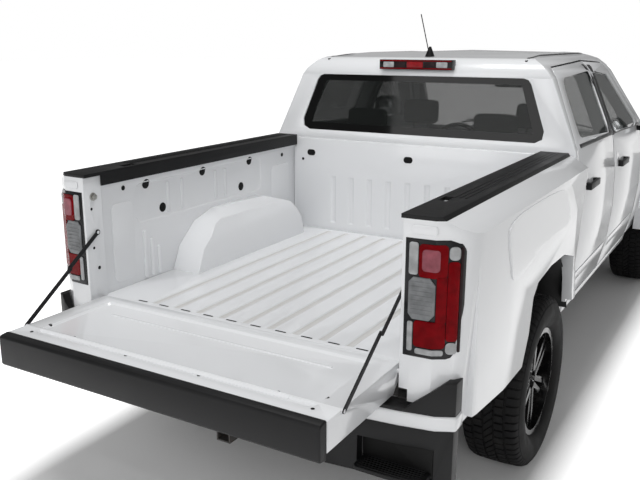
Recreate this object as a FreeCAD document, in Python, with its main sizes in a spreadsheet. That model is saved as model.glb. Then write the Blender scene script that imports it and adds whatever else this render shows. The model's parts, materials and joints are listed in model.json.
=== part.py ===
"""Crew-cab pickup truck with a short bed, its tailgate lowered.

Millimetres, +X to the truck's right, +Y forward, +Z up.
Every piece is modelled about the ground point under the rear axle,
and is then moved so that the origin lies under the middle of the truck.
"""
import FreeCAD, Part
import math
import os
import Sketcher
from collections import namedtuple
from types import SimpleNamespace
from FreeCAD import Placement, Rotation, Vector

# Driving dimensions in millimetres, one sheet cell each
SIZES = {
    # Whole truck
    "wheelbase": 3259, "front_overhang": 945, "track": 1585, "running_gap": 0.3,
    "roof_height": 1798, "overrun": 400,
    # Tyres and wheels
    "tyre_radius": 385, "tyre_width": 262, "tyre_shoulder": 34, "rim_radius": 231,
    "rim_width": 210, "rim_lip": 10, "rim_wall": 12, "hub_radius": 78, "hub_depth": 30,
    "hub_offset": 22, "spoke_width": 26, "spoke_spread": 62, "spoke_depth": 34, "spoke_rise": 26,
    "stub_radius": 32, "disc_radius": 165, "disc_width": 26,
    # Ladder frame
    "rail_width": 70, "rail_depth": 130, "rail_spacing": 960, "nose_rail_spacing": 760,
    "rail_front": 4010, "rail_back": 1010, "rail_low": 440, "rail_over_axle": 610, "rail_nose": 500,
    "cross_depth": 70, "cross_width": 80,
    # Running gear
    "axle_tube": 42, "diff_radius": 140, "diff_length": 230, "spring_width": 62, "leaf_depth": 34,
    "spring_front": 640, "spring_back": 640, "spring_eye": 30,
    "damper_radius": 26, "shaft_radius": 34, "pipe_radius": 28, "muffler_length": 520,
    "muffler_radius": 90, "tank_length": 860, "tank_width": 250, "tank_depth": 190,
    "spare_setback": 585, "spare_height": 610, "spare_width": 230, "spare_radius": 340,
    "mount_radius": 40, "engine_mount": 60, "hanger_radius": 8,
    "engine_length": 640, "engine_width": 500, "engine_height": 560, "engine_low": 420,
    "gearbox_length": 900, "gearbox_width": 270, "gearbox_depth": 190,
    # Steering and front suspension
    "kingpin_inset": 92.5, "knuckle_rise": 165, "knuckle_drop": 165, "upright_width": 60,
    "upright_depth": 110, "lug_thickness": 24, "arm_reach": 120, "arm_thickness": 20,
    "tie_rod": 11, "rack_radius": 26, "rack_length": 760, "control_arm": 30,
    "arm_root": 300, "arm_tip": 60, "pin_radius": 12, "pivot_gap": 0.3,
    # Cab
    "cab_back": 590, "cab_gap": 20, "cab_front": 2930, "sill_height": 480, "door_sill": 530,
    "belt_height": 1330, "cowl_height": 1165, "waist_height": 900, "sill_half_width": 820,
    "waist_half_width": 889, "belt_half_width": 852, "rail_half_width": 706, "roof_rail_height": 1672,
    "roof_edge_half_width": 450, "roof_edge_height": 1784, "wind_top": 2190, "wind_top_height": 1718,
    "wind_bow": 190, "wind_bow_half_width": 800, "back_glass_lean": 36, "wall": 84, "skin": 8,
    "floor_height": 590, "floor_thickness": 30, "firewall": 2770, "firewall_thickness": 30,
    "roof_thickness": 45, "door_gap": 8, "flange": 20, "inner_flange": 40, "door_layer": 45,
    "pillar_lip": 15, "pillar_depth_in": 50,
    "door_back": 638, "door_split": 1518, "door_front": 2472, "glass": 5, "hinge_setback": 30,
    "hinge_inset": 34, "door_pin": 7, "door_pin_length": 120, "door_pocket": 40, "door_pocket_height": 70,
    "door_bracket": 50, "lower_hinge": 800, "upper_hinge": 1120, "swing_gap": 5,
    # Nose
    "nose_height": 1058, "hood_half_width": 700, "shoulder_height": 1030, "shoulder_half_width": 872,
    "hood_edge_height": 1128, "hood_back": 2990, "hood_front": 3985, "hood_thickness": 28,
    "panel_gap": 6, "fender_sheet": 8, "hood_pin_back": 3015, "hood_pin_height": 1100, "hood_pin": 7,
    "hood_lug": 20, "hood_hinge_spread": 500, "cowl_panel_height": 1085, "front_bow": 200,
    "fender_front": 3930, "arch_half_length": 452,
    "arch_height": 935, "arch_low": 520, "flare_half_width": 940, "flare_width": 62,
    "grille_half_width": 500, "grille_low": 680, "grille_high": 1010, "grille_depth": 60,
    "grille_bar": 22, "lamp_low": 840, "bumper_low": 400, "bumper_high": 680, "bumper_depth": 180,
    "bumper_half_width": 905, "radiator_depth": 50,
    # Bed
    "bed_length": 1567, "headboard": 540, "headboard_thickness": 25, "bed_floor": 800,
    "floor_plate": 20, "bed_half_width": 734, "wall_sheet": 18, "rail_top": 1318, "rail_low_edge": 1262,
    "rail_inner": 705, "rail_outer": 838, "side_half_width": 920, "side_crease": 1266,
    "side_low": 620, "side_low_half_width": 888, "side_back": 1088, "floor_edge": 1010,
    "corner_width": 180, "corner_depth": 158, "flare_crease": 1085, "flare_back": 960,
    "flare_wide_back": 700, "flare_wide_front": 300, "flare_end": 420, "board_rib_low": 840,
    "board_rib_high": 1110, "panel_back": 780, "panel_front": 200, "panel_low": 1065,
    "panel_high": 1245, "panel_round": 30, "panel_depth": 6, "stake_back": 840, "stake_length": 80,
    "stake_width": 34, "stake_depth": 40,
    "rib_pitch": 114, "rib_width": 34, "rib_depth": 8, "wheelhouse_inner": 564,
    "wheelhouse_top": 1045, "wheelhouse_back": 550, "wheelhouse_front": 400, "wheelhouse_low": 700,
    "wheelhouse_round": 90,
    "pillar_inner": 703, "pillar_depth": 95, "cap_thickness": 14, "cap_flange": 44, "cap_lip": 10,
    "lamp_inner": 714, "lamp_outer": 893, "lamp_foot": 868, "lamp_bottom": 866, "lamp_top": 1258,
    "lamp_depth": 66, "lamp_corner": 42,
    # Tailgate
    "hinge_back": 1050, "hinge_height": 785, "gate_rise": 515, "gate_half_width": 680,
    "gate_inner": 25, "gate_outer": 75, "gate_root": 23, "gate_cap_width": 42, "hinge_pin": 9,
    "hinge_lug": 26, "hinge_reach": 14, "pillar_reach": 13, "cable_post_height": 1085,
    "cable_post_back": 1035, "cable_end_back": 1435, "cable_end_height": 805, "cable_width": 16, "cable_thickness": 5, "cable_gap": 2,
    "upper_link": 201.5, "cable_pin": 7,
    # Rear bumper and hitch
    "rear_bumper_back": 1185, "rear_bumper_low": 632, "rear_bumper_high": 684, "step_height": 698,
    "rear_bumper_bow": 98, "rear_bumper_half_width": 905, "fascia_low": 430, "rear_bumper_depth": 120,
    "pad_corner_height": 800, "pad_corner_inner": 745, "pad_corner_outer": 868, "step_pocket_inner": 580,
    "step_pocket_outer": 840, "step_pocket_depth": 70, "step_plate": 22,
    "receiver_height": 397, "receiver_bore": 51, "receiver_wall": 6, "receiver_length": 230,
    "receiver_back": 1127, "hitch_pin": 8, "hitch_pin_back": 1060, "hitch_tube": 60,
    # Inside and on top
    "seat_width": 520, "seat_spacing": 760, "seat_back_front": 1640, "seat_back_rear": 850,
    "bench_width": 1300, "cushion_length": 520, "cushion_depth": 150, "seat_base": 660,
    "squab_height": 640, "squab_depth": 130, "headrest_width": 260, "headrest_height": 190,
    "headrest_depth": 100, "squab_lean": 90, "seat_round": 40,
    "dash_half_width": 690, "dash_back": 2420, "dash_low": 860, "dash_high": 1150,
    "steer_offset": 365, "steer_back": 2215, "steer_height": 1085, "steer_radius": 182,
    "steer_tube": 15, "steer_hub": 55, "steer_lean": 25, "column_radius": 24,
    "antenna_back": 790, "antenna_length": 260, "antenna_radius": 3, "antenna_base": 28,
    "antenna_lean": 32, "brake_lamp_half_width": 204, "brake_lamp_low": 1706, "brake_lamp_high": 1756,
    "mirror_reach": 155, "mirror_height": 170, "mirror_low": 1270, "mirror_front": 2395,
    "mirror_depth": 105, "mirror_arm": 30, "handle_length": 210, "handle_height": 34,
    "handle_reach": 42, "handle_grip": 14,
}

doc = FreeCAD.newDocument("Pickup")


def make_sheet():
    """Write every driving dimension to the sheet and read them back."""
    sheet = doc.addObject("Spreadsheet::Sheet", "Size")
    for row, (name, value) in enumerate(SIZES.items(), start=1):
        sheet.set(f"A{row}", name)
        sheet.set(f"B{row}", str(value))
        sheet.setAlias(f"B{row}", name)
    doc.recompute()
    return SimpleNamespace(**{name: float(sheet.get(name)) for name in SIZES})


mm = make_sheet()
front_axle = mm.wheelbase
wheel_x = mm.track / 2
gate_reach = mm.hinge_back + mm.gate_rise
middle = (mm.wheelbase + mm.front_overhang - gate_reach) / 2
shift_formula = "(Size.hinge_back + Size.gate_rise - Size.wheelbase - Size.front_overhang) / 2"
nodes = []
lamps = []
frame_shape = []

# A Via bends the run between its two neighbours into an arc through it
Via = namedtuple("Via", "u v")

# How many straight runs stand for a rounded corner, and for the circle of a pin, a bar, a drum and a wheel
corner_runs = 2
pin_sides = 8
bar_sides = 12
drum_sides = 20
wheel_sides = 32
arc_run_angle = math.radians(12)


def on_axis(axis, u, v, place):
    """The point with plane coordinates u, v at a place along an axis."""
    return {"x": Vector(place, u, v), "y": Vector(u, place, v), "z": Vector(u, v, place)}[axis]


def rounded(before, corner, after):
    """Points that take a corner (u, v, radius) round in a few straight runs."""
    tip = Vector(corner[0], corner[1], 0)
    back = (Vector(before[0], before[1], 0) - tip).normalize()
    ahead = (Vector(after[0], after[1], 0) - tip).normalize()
    half = back.getAngle(ahead) / 2
    reach = corner[2] / math.tan(half)
    start = tip + back * reach
    end = tip + ahead * reach
    centre = tip + (back + ahead).normalize() * (corner[2] / math.sin(half))
    return swept_points(centre, start, end, corner_runs)


def swept_points(centre, start, end, runs):
    """Points at even turns about a centre, from a start to an end less than half a circle away."""
    first = start - centre
    last = end - centre
    turn = first.getAngle(last)
    if first.cross(last).z < 0:
        turn = -turn
    runs = round(runs)
    points = []
    for index in range(runs + 1):
        spoke = Rotation(Vector(0, 0, 1), math.degrees(turn * index / runs)).multVec(first)
        points.append((centre.x + spoke.x, centre.y + spoke.y))
    return points


def straightened(points):
    """An outline whose arcs are split into short straight runs."""
    run = []
    count = len(points)
    for index, point in enumerate(points):
        if not isinstance(point, Via):
            run.append(point)
            continue
        start = Vector(*points[index - 1][:2], 0)
        end = Vector(*points[(index + 1) % count][:2], 0)
        via = Vector(point.u, point.v, 0)
        centre = Part.Arc(start, via, end).toShape().Curve.Center
        for near, far in ((start, via), (via, end)):
            turn = (near - centre).getAngle(far - centre)
            step_count = max(1, math.ceil(turn / arc_run_angle))
            run += swept_points(centre, near, far, step_count)[1:]
        run.pop()
    return run


def face(points, axis, place=0):
    """A flat face across an axis. A third value rounds a corner."""
    run = []
    count = len(points)
    for index, point in enumerate(points):
        if isinstance(point, Via) or len(point) == 2:
            run.append(point)
        else:
            run += rounded(points[index - 1], point, points[(index + 1) % count])
    edges = []
    start = run[0]
    loop = run[1:] + run[:1]
    index = 0
    while index < len(loop):
        here = on_axis(axis, start[0], start[1], place)
        if isinstance(loop[index], Via):
            bend = on_axis(axis, loop[index].u, loop[index].v, place)
            start = loop[index + 1]
            edges.append(Part.Arc(here, bend, on_axis(axis, start[0], start[1], place)).toShape())
            index += 2
        else:
            start = loop[index]
            edges.append(Part.LineSegment(here, on_axis(axis, start[0], start[1], place)).toShape())
            index += 1
    return Part.Face(Part.Wire(edges))


def drawn_in(points, inset):
    """An outline moved inwards by an inset, or outwards by a negative one."""
    count = len(points)
    area = sum(points[i][0] * points[(i + 1) % count][1] - points[(i + 1) % count][0] * points[i][1]
               for i in range(count))
    turn = 1 if area > 0 else -1
    moved = []
    for index, point in enumerate(points):
        before = points[index - 1]
        after = points[(index + 1) % count]
        first = Vector(point[0] - before[0], point[1] - before[1], 0).normalize()
        second = Vector(after[0] - point[0], after[1] - point[1], 0).normalize()
        normals = Vector(-first.y, first.x, 0) + Vector(-second.y, second.x, 0)
        shift = normals * (turn * inset / (1 + first.dot(second)))
        place = (point[0] + shift.x, point[1] + shift.y)
        if isinstance(point, Via):
            moved.append(Via(*place))
        elif len(point) == 2 or point[2] <= inset:
            moved.append(place)
        else:
            moved.append(place + (point[2] - inset,))
    return moved


def prism(points, axis, start, end, lean=Vector(0, 0, 0), inset=0):
    """An outline carried along an axis from start to end, leaning if asked."""
    outline = straightened(points)
    flat = face(drawn_in(outline, inset) if inset else outline, axis, start)
    along = on_axis(axis, 0, 0, end - start) + lean * (end - start)
    return flat.extrude(along)


def sewn(flats):
    """A solid from the flat faces that close it."""
    shell = Part.Shell(flats)
    shell.sewShape()
    solid = Part.Solid(shell)
    if solid.Volume < 0:
        solid.reverse()
    return solid


def bridged(near, far):
    """Flat faces between two like loops of points."""
    flats = []
    for index in range(len(near)):
        after = (index + 1) % len(near)
        corners = [near[index], near[after], far[after], far[index]]
        flats.append(Part.Face(Part.makePolygon(corners + corners[:1])))
    return flats


def drafted(points, axis, start, end, inset):
    """An outline that draws in evenly by an inset on its way from start to end."""
    near = [on_axis(axis, u, v, start) for u, v in points]
    far = [on_axis(axis, u, v, end) for u, v in drawn_in(points, inset)]
    ends = [Part.Face(Part.makePolygon(loop + loop[:1])) for loop in (near, far)]
    return sewn(ends + bridged(near, far))


def ring(centre, along, radius, sides):
    """The corners of a many-sided ring about an axis."""
    sides = round(sides)
    turn = Rotation(Vector(0, 0, 1), along)
    step = 2 * math.pi / sides
    return [centre + turn.multVec(Vector(math.cos(step * index), math.sin(step * index), 0)) * radius
            for index in range(sides)]


def turned(start, along, section, sides, bored=False):
    """A section of points (place, radius) taken round an axis in flats, flat at its ends or bored through."""
    loops = [ring(start + along * place, along, radius, sides) for place, radius in section]
    if bored:
        ends = bridged(loops[-1], loops[0])
    else:
        ends = [Part.Face(Part.makePolygon(loop + loop[:1])) for loop in (loops[0], loops[-1])]
    for near, far in zip(loops, loops[1:]):
        ends += bridged(near, far)
    return sewn(ends)


def block(low, high):
    """A box between two corners."""
    return Part.makeBox(high[0] - low[0], high[1] - low[1], high[2] - low[2], Vector(*low))


def rod(start, end, radius, sides=pin_sides):
    """A bar between two points, with flats narrow enough to read as round."""
    run = Vector(*end) - Vector(*start)
    loop = ring(Vector(*start), run, radius, sides)
    return Part.Face(Part.makePolygon(loop + loop[:1])).extrude(run)


def bar(axis, centre, radius, length, sides=pin_sides):
    """A bar centred on a point, lying along an axis."""
    reach = on_axis(axis, 0, 0, length / 2)
    return rod(Vector(*centre) - reach, Vector(*centre) + reach, radius, sides)


def bore(axis, centre, radius, length, sides=pin_sides):
    """The hole for a pin of a radius: a bar whose flats lie outside the pin."""
    return bar(axis, centre, radius / math.cos(math.pi / round(sides)), length, sides)


def journal(axis, centre, radius, length, sides=pin_sides):
    """A pin that turns in a bore: truly round over one quarter, with flats over the rest."""
    place = dict(zip("xyz", centre))
    middle_place = place.pop(axis)
    u, v = place.values()
    sides = round(sides)
    step = 2 * math.pi / sides
    quarter = sides // 4
    corners = [(u + radius * math.cos(step * index), v + radius * math.sin(step * index))
               for index in range(sides)]
    bend = Via(u + radius * math.cos(math.pi / 4), v + radius * math.sin(math.pi / 4))
    outline = [corners[0], bend] + corners[quarter:]
    flat = face(outline, axis, middle_place - length / 2)
    return flat.extrude(on_axis(axis, 0, 0, length))


def flip(shape):
    """The same piece on the other side of the truck."""
    return shape.mirror(Vector(0, 0, 0), Vector(1, 0, 0))


def both(shape):
    """A right-hand piece together with its left-hand twin."""
    return Part.Compound([shape, flip(shape)])


def fused(*shapes):
    """Several touching shapes as one piece."""
    whole = shapes[0].multiFuse(list(shapes[1:]))
    return whole.removeSplitter()


def cut(shape, *tools):
    """A shape without its tools."""
    return shape.cut(list(tools))


def mirrored_outline(half):
    """A closed outline from its right half, listed from bottom to top."""
    left = [Via(-p.u, p.v) if isinstance(p, Via) else (-p[0],) + tuple(p[1:]) for p in reversed(half)]
    if half[-1][0] == 0:
        left = left[1:]
    return list(half) + left


def spread(shares, low, high):
    """Outline points from shares of the box between two corners."""
    across = high[0] - low[0]
    up = high[1] - low[1]
    points = []
    for share in shares:
        u = low[0] + share[0] * across
        v = low[1] + share[1] * up
        if isinstance(share, Via):
            points.append(Via(u, v))
        else:
            points.append((u, v) + tuple(radius_share * up for radius_share in share[2:]))
    return points


def tidy(shape):
    """The solids of a shape, as one solid or a compound of them, without seams across flat faces."""
    solids = [solid for piece in shape.Solids for solid in piece.removeSplitter().Solids]
    return solids[0] if len(solids) == 1 else Part.Compound(solids)


def keep(name, shape):
    """Add a finished sub-part that Part's own functions have shaped."""
    piece = doc.addObject("Part::Feature", name)
    piece.Label = name
    piece.Shape = tidy(shape)
    piece.Placement = Placement(Vector(0, -middle, 0), Rotation()).multiply(piece.Shape.Placement)
    nodes.append(piece)
    return piece


def keep_object(piece, name, along="0"):
    """Take a finished document object as a sub-part and place it along the truck."""
    piece.Label = name
    piece.setExpression("Placement.Base.y", f"{along} + {shift_formula}")
    nodes.append(piece)
    return piece


def bound_box(name, low, high):
    """A Part::Box between two corners given as sheet formulas."""
    box = doc.addObject("Part::Box", name)
    for prop, start, end in zip(("Length", "Width", "Height"), low, high):
        box.setExpression(prop, f"({end}) - ({start})")
    for axis, start in zip("xyz", low):
        box.setExpression(f"Placement.Base.{axis}", start)
    return box


def bound_drum(name, start, radius, length):
    """A many-sided Part::Prism that stands on a start point, given as sheet formulas."""
    drum = doc.addObject("Part::Prism", name)
    drum.Polygon = round(drum_sides)
    drum.setExpression("Circumradius", radius)
    drum.setExpression("Height", length)
    for letter, place in zip("xyz", start):
        drum.setExpression(f"Placement.Base.{letter}", place)
    return drum


def bound_fuse(name, pieces):
    """A Part::MultiFuse of document objects."""
    fuse = doc.addObject("Part::MultiFuse", name)
    fuse.Shapes = pieces
    return fuse


def bound_cut(name, base, tool):
    """A Part::Cut of one document object by another."""
    piece = doc.addObject("Part::Cut", name)
    piece.Base = base
    piece.Tool = tool
    return piece


def origin_plane(body, role):
    """One of a body's own origin planes."""
    return next(item for item in body.Origin.OriginFeatures if item.Role == role)


def sketch_outline(body, name, role, points):
    """A closed sketch whose corners are dimensioned from the origin by sheet formulas."""
    sketch = body.newObject("Sketcher::SketchObject", name)
    sketch.AttachmentSupport = [(origin_plane(body, role), "")]
    sketch.MapMode = "FlatFace"
    count = len(points)
    for index in range(count):
        angle = 2 * math.pi * index / count
        turn = 2 * math.pi * (index + 1) / count
        start = Vector(math.cos(angle), math.sin(angle), 0)
        end = Vector(math.cos(turn), math.sin(turn), 0)
        sketch.addGeometry(Part.LineSegment(start, end), False)
    for index in range(count):
        sketch.addConstraint(Sketcher.Constraint("Coincident", index, 2, (index + 1) % count, 1))
    for index, (across, up) in enumerate(points):
        for kind, formula in (("DistanceX", across), ("DistanceY", up)):
            number = sketch.addConstraint(Sketcher.Constraint(kind, -1, 1, index, 1, 1.0))
            sketch.setExpression(f"Constraints[{number}]", formula)
    return sketch


roof_line_shares = [(0.32, 0.72), (0.55, 1), (0.79, 0.41)]


def cab_side_outline():
    """The cab's length outline, seen from the right."""
    return [
        (mm.cab_back, mm.sill_height),
        (mm.cab_back, mm.belt_height),
        (mm.cab_back + mm.back_glass_lean, mm.roof_rail_height),
        Via(mm.cab_back + mm.back_glass_lean * 1.6, mm.roof_edge_height * 0.972),
        (mm.cab_back + mm.back_glass_lean * 4, mm.roof_edge_height * 0.99),
        *spread(roof_line_shares, (mm.cab_back, mm.roof_edge_height * 0.99), (mm.wind_top, mm.roof_height)),
        (mm.wind_top, mm.wind_top_height),
        (mm.cab_front, (mm.cowl_height + mm.wind_top_height) / 2),
        (mm.cab_front, mm.sill_height),
    ]


def cab_section():
    """The cab's cross-section, with its tumblehome and crowned roof."""
    half = [
        (mm.sill_half_width, mm.sill_height),
        Via(mm.waist_half_width, mm.waist_height),
        (mm.belt_half_width, mm.belt_height),
        (mm.rail_half_width, mm.roof_rail_height),
        Via(mm.rail_half_width * 0.905, mm.roof_rail_height * 1.041),
        (mm.roof_edge_half_width, mm.roof_edge_height),
        Via(0, mm.roof_height),
    ]
    return mirrored_outline(half)


def wind_plan():
    """The plan of the bowed windscreen at the cowl."""
    side = mm.cab_front - mm.wind_bow
    wide = mm.waist_half_width + mm.overrun
    edge = mm.wind_bow_half_width
    return [
        (-wide, -mm.overrun), (wide, -mm.overrun), (wide, side - mm.wind_bow), (edge, side),
        Via(0, mm.cab_front), (-edge, side), (-wide, side - mm.wind_bow),
    ]


def cab_form(inset=0, sides=None):
    """The whole cab as a solid, drawn in by an inset."""
    sides = inset if sides is None else sides
    long_way = prism(cab_side_outline(), "x", -mm.flare_half_width, mm.flare_half_width, inset=inset)
    round_way = prism(cab_section(), "y", 0, mm.cab_front + mm.overrun, inset=sides)
    slope = (mm.cab_front - mm.wind_top) / (mm.wind_top_height - mm.cowl_height)
    lean = Vector(0, -slope, 0)
    low = mm.cowl_height - mm.overrun
    plan = [Via(p.u, p.v + slope * mm.overrun) if isinstance(p, Via) else (p[0], p[1] + slope * mm.overrun)
            for p in wind_plan()]
    screen = prism(plan, "z", low, mm.roof_height + mm.overrun, lean, inset)
    below = block((-mm.flare_half_width, 0, 0), (mm.flare_half_width, mm.cab_front + mm.overrun, low))
    return long_way.common(round_way).common(screen.fuse(below))


rear_door_shares = [(0.02, 0, 0.04), (1, 0), (1, 1), (0.1, 0.985, 0.05), (0, 0.68)]
front_door_shares = [(0, 0), (0.975, 0, 0.05), (1, 0.4), (1, 0.6, 0.05), (0.93, 0.675, 0.03),
                     (0.44, 0.985, 0.06), (0, 1)]
rear_window_shares = [(0.135, 0.705, 0.03), (0.945, 0.675, 0.02), (0.945, 0.958, 0.02), (0.19, 0.945, 0.06)]
front_window_shares = [(0.06, 0.672, 0.02), (0.875, 0.64, 0.02), (0.41, 0.93, 0.05), (0.06, 0.955, 0.02)]


def door_box(front):
    """The low and high corners of a door's outline, seen from the right."""
    top = mm.roof_rail_height + (mm.roof_height - mm.roof_rail_height) / 2
    if front:
        return (mm.door_split, mm.door_sill), (mm.door_front, top)
    return (mm.door_back, mm.door_sill), (mm.door_split - mm.door_gap, top)


def door_prism(front, grow=0):
    """A door's outline carried across the right half of the truck."""
    shares = front_door_shares if front else rear_door_shares
    points = spread(shares, *door_box(front))
    return prism(points, "x", mm.grille_half_width, mm.flare_half_width, inset=-grow)


def window_prism(front, grow=0):
    """A side window's outline carried across the right half of the truck."""
    shares = front_window_shares if front else rear_window_shares
    points = spread(shares, *door_box(front))
    return prism(points, "x", mm.grille_half_width, mm.flare_half_width, inset=-grow)


def hinge_line(front):
    """Where a door turns: its distance from the middle and its place along the truck."""
    edge = mm.door_front if front else mm.door_split - mm.door_gap
    return mm.waist_half_width - mm.hinge_inset, edge - mm.hinge_setback


def door_swing(front, step_line):
    """The space that a door's leading edge sweeps ahead of its hinges as it opens."""
    x, y = hinge_line(front)
    reach = math.hypot(mm.waist_half_width - x, mm.hinge_setback) + mm.swing_gap
    height = mm.belt_height - mm.door_sill
    swept = bore("z", (x, y, mm.door_sill + height / 2), reach, height, pin_sides)
    return cut(swept, step_line, block((0, 0, 0), (mm.flare_half_width, y, mm.roof_height)))


def door_hinges(front):
    """The fixed pins and brackets of one door on the right side."""
    x, y = hinge_line(front)
    half = mm.door_bracket / 2
    pin = mm.door_pin
    depth = mm.pillar_depth_in - mm.hinge_inset
    foot = mm.hinge_setback - mm.pillar_lip
    shapes = []
    shapes.append(journal("z", (x, y, mm.upper_hinge), pin, mm.door_pin_length))
    shapes.append(bar("z", (x, y, mm.lower_hinge), pin, mm.door_pin_length, pin_sides))
    for height in (mm.lower_hinge, mm.upper_hinge):
        shapes.append(prism([(x + pin * 0.8, y - pin * 0.8), (x + pin * 0.8, y + pin * 0.8),
                             (x - depth * 1.6, y + mm.hinge_setback), (x - depth * 1.6, y + foot),
                             (x - pin * 0.8, y - pin * 0.8)], "z", height - half, height + half))
    return shapes


def door_hollows(front):
    """The pockets and bores inside one door that clear its hinges."""
    x, y = hinge_line(front)
    shapes = []
    for height in (mm.lower_hinge, mm.upper_hinge):
        shapes.append(bar("z", (x, y, height), mm.door_pocket, mm.door_pocket_height, pin_sides))
        shapes.append(bore("z", (x, y, height), mm.door_pin + mm.running_gap,
                           mm.door_pin_length + mm.running_gap * 4, pin_sides))
    return shapes


def make_doors(whole):
    """Four doors, each a skin with an inner frame, a pane, a handle and a mirror."""
    skin_line = cab_form(0, mm.skin)
    layer_line = cab_form(0, mm.door_layer)
    wall_line = cab_form(0, mm.wall)
    step_line = cab_form(0, mm.pillar_depth_in)
    pane_front = cab_form(0, mm.skin)
    pane_back = cab_form(0, mm.skin + mm.glass)
    for place, front in (("front", True), ("rear", False)):
        hole = window_prism(front)
        skin = cut(whole.common(door_prism(front)), skin_line)
        if front:
            skin = cut(skin, door_swing(False, step_line))
        layer = cut(skin_line.common(door_prism(front, -mm.flange)), layer_line)
        inner = cut(layer_line.common(door_prism(front, -mm.inner_flange)), wall_line)
        frame = cut(fused(layer, inner), *door_hollows(front))
        panel = cut(fused(skin, frame), hole)
        pane = cut(pane_front.common(window_prism(front, -mm.running_gap)), pane_back)
        trim = make_door_trim(front, whole)
        for side, turn in (("right", lambda shape: shape), ("left", flip)):
            keep(f"door_{place}_{side}", turn(panel))
            keep(f"door_glass_{place}_{side}", turn(pane))
            keep(f"door_trim_{place}_{side}", turn(trim))


def make_door_trim(front, whole):
    """A door's handle, and on a front door its mirror."""
    low, high = door_box(front)
    handle_back = low[0] + mm.handle_length / 2
    handle_height = mm.belt_height - mm.mirror_height
    reach = mm.waist_half_width + mm.handle_reach / 2
    grip = block((reach - mm.handle_grip, handle_back, handle_height - mm.handle_height),
                 (reach, handle_back + mm.handle_length, handle_height))
    ends = [block((mm.belt_half_width, handle_back + offset, handle_height - mm.handle_height),
                  (reach - mm.handle_grip, handle_back + offset + mm.handle_height, handle_height))
            for offset in (0, mm.handle_length - mm.handle_height)]
    handle = cut(fused(grip, *ends), whole)
    if not front:
        return handle
    back = mm.mirror_front - mm.mirror_depth
    inner = mm.waist_half_width + mm.mirror_arm / 2
    head = prism(spread([(0, 0, 0.15), (1, 0.06, 0.2), (1, 0.95, 0.2), (0, 1, 0.2)],
                        (inner, mm.mirror_low), (inner + mm.mirror_reach, mm.mirror_low + mm.mirror_height)),
                 "y", back, mm.mirror_front)
    stalk = block((mm.rail_half_width, mm.mirror_front - mm.mirror_depth / 2, mm.mirror_low),
                  (inner + mm.mirror_arm, mm.mirror_front - mm.mirror_arm / 2, mm.mirror_low + mm.mirror_arm))
    sail = cut(stalk, whole)
    mirror = fused(head, sail)
    return Part.Compound([handle, mirror])


screen_shares = [(0.08, 0.045, 0.04), (0.92, 0.045, 0.04), (0.84, 0.93, 0.06), (0.16, 0.93, 0.06)]
back_glass_shares = [(0.1, 0.09, 0.13), (0.9, 0.09, 0.13), (0.835, 1, 0.13), (0.165, 1, 0.13)]


def screen_prism(inset=0):
    """The windscreen's outline seen from the front, carried through the cab's front."""
    points = spread(screen_shares, (-mm.waist_half_width, mm.cowl_height),
                    (mm.waist_half_width, mm.wind_top_height))
    return prism(points, "y", (mm.cab_back + mm.wind_top) / 2, mm.cab_front + mm.overrun, inset=inset)


def back_glass_prism(inset=0):
    """The rear window's outline seen from behind, carried through the cab's back."""
    points = spread(back_glass_shares, (-mm.waist_half_width, mm.belt_height),
                    (mm.waist_half_width, mm.roof_rail_height))
    return prism(points, "y", 0, mm.cab_back + mm.overrun, inset=inset)


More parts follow.
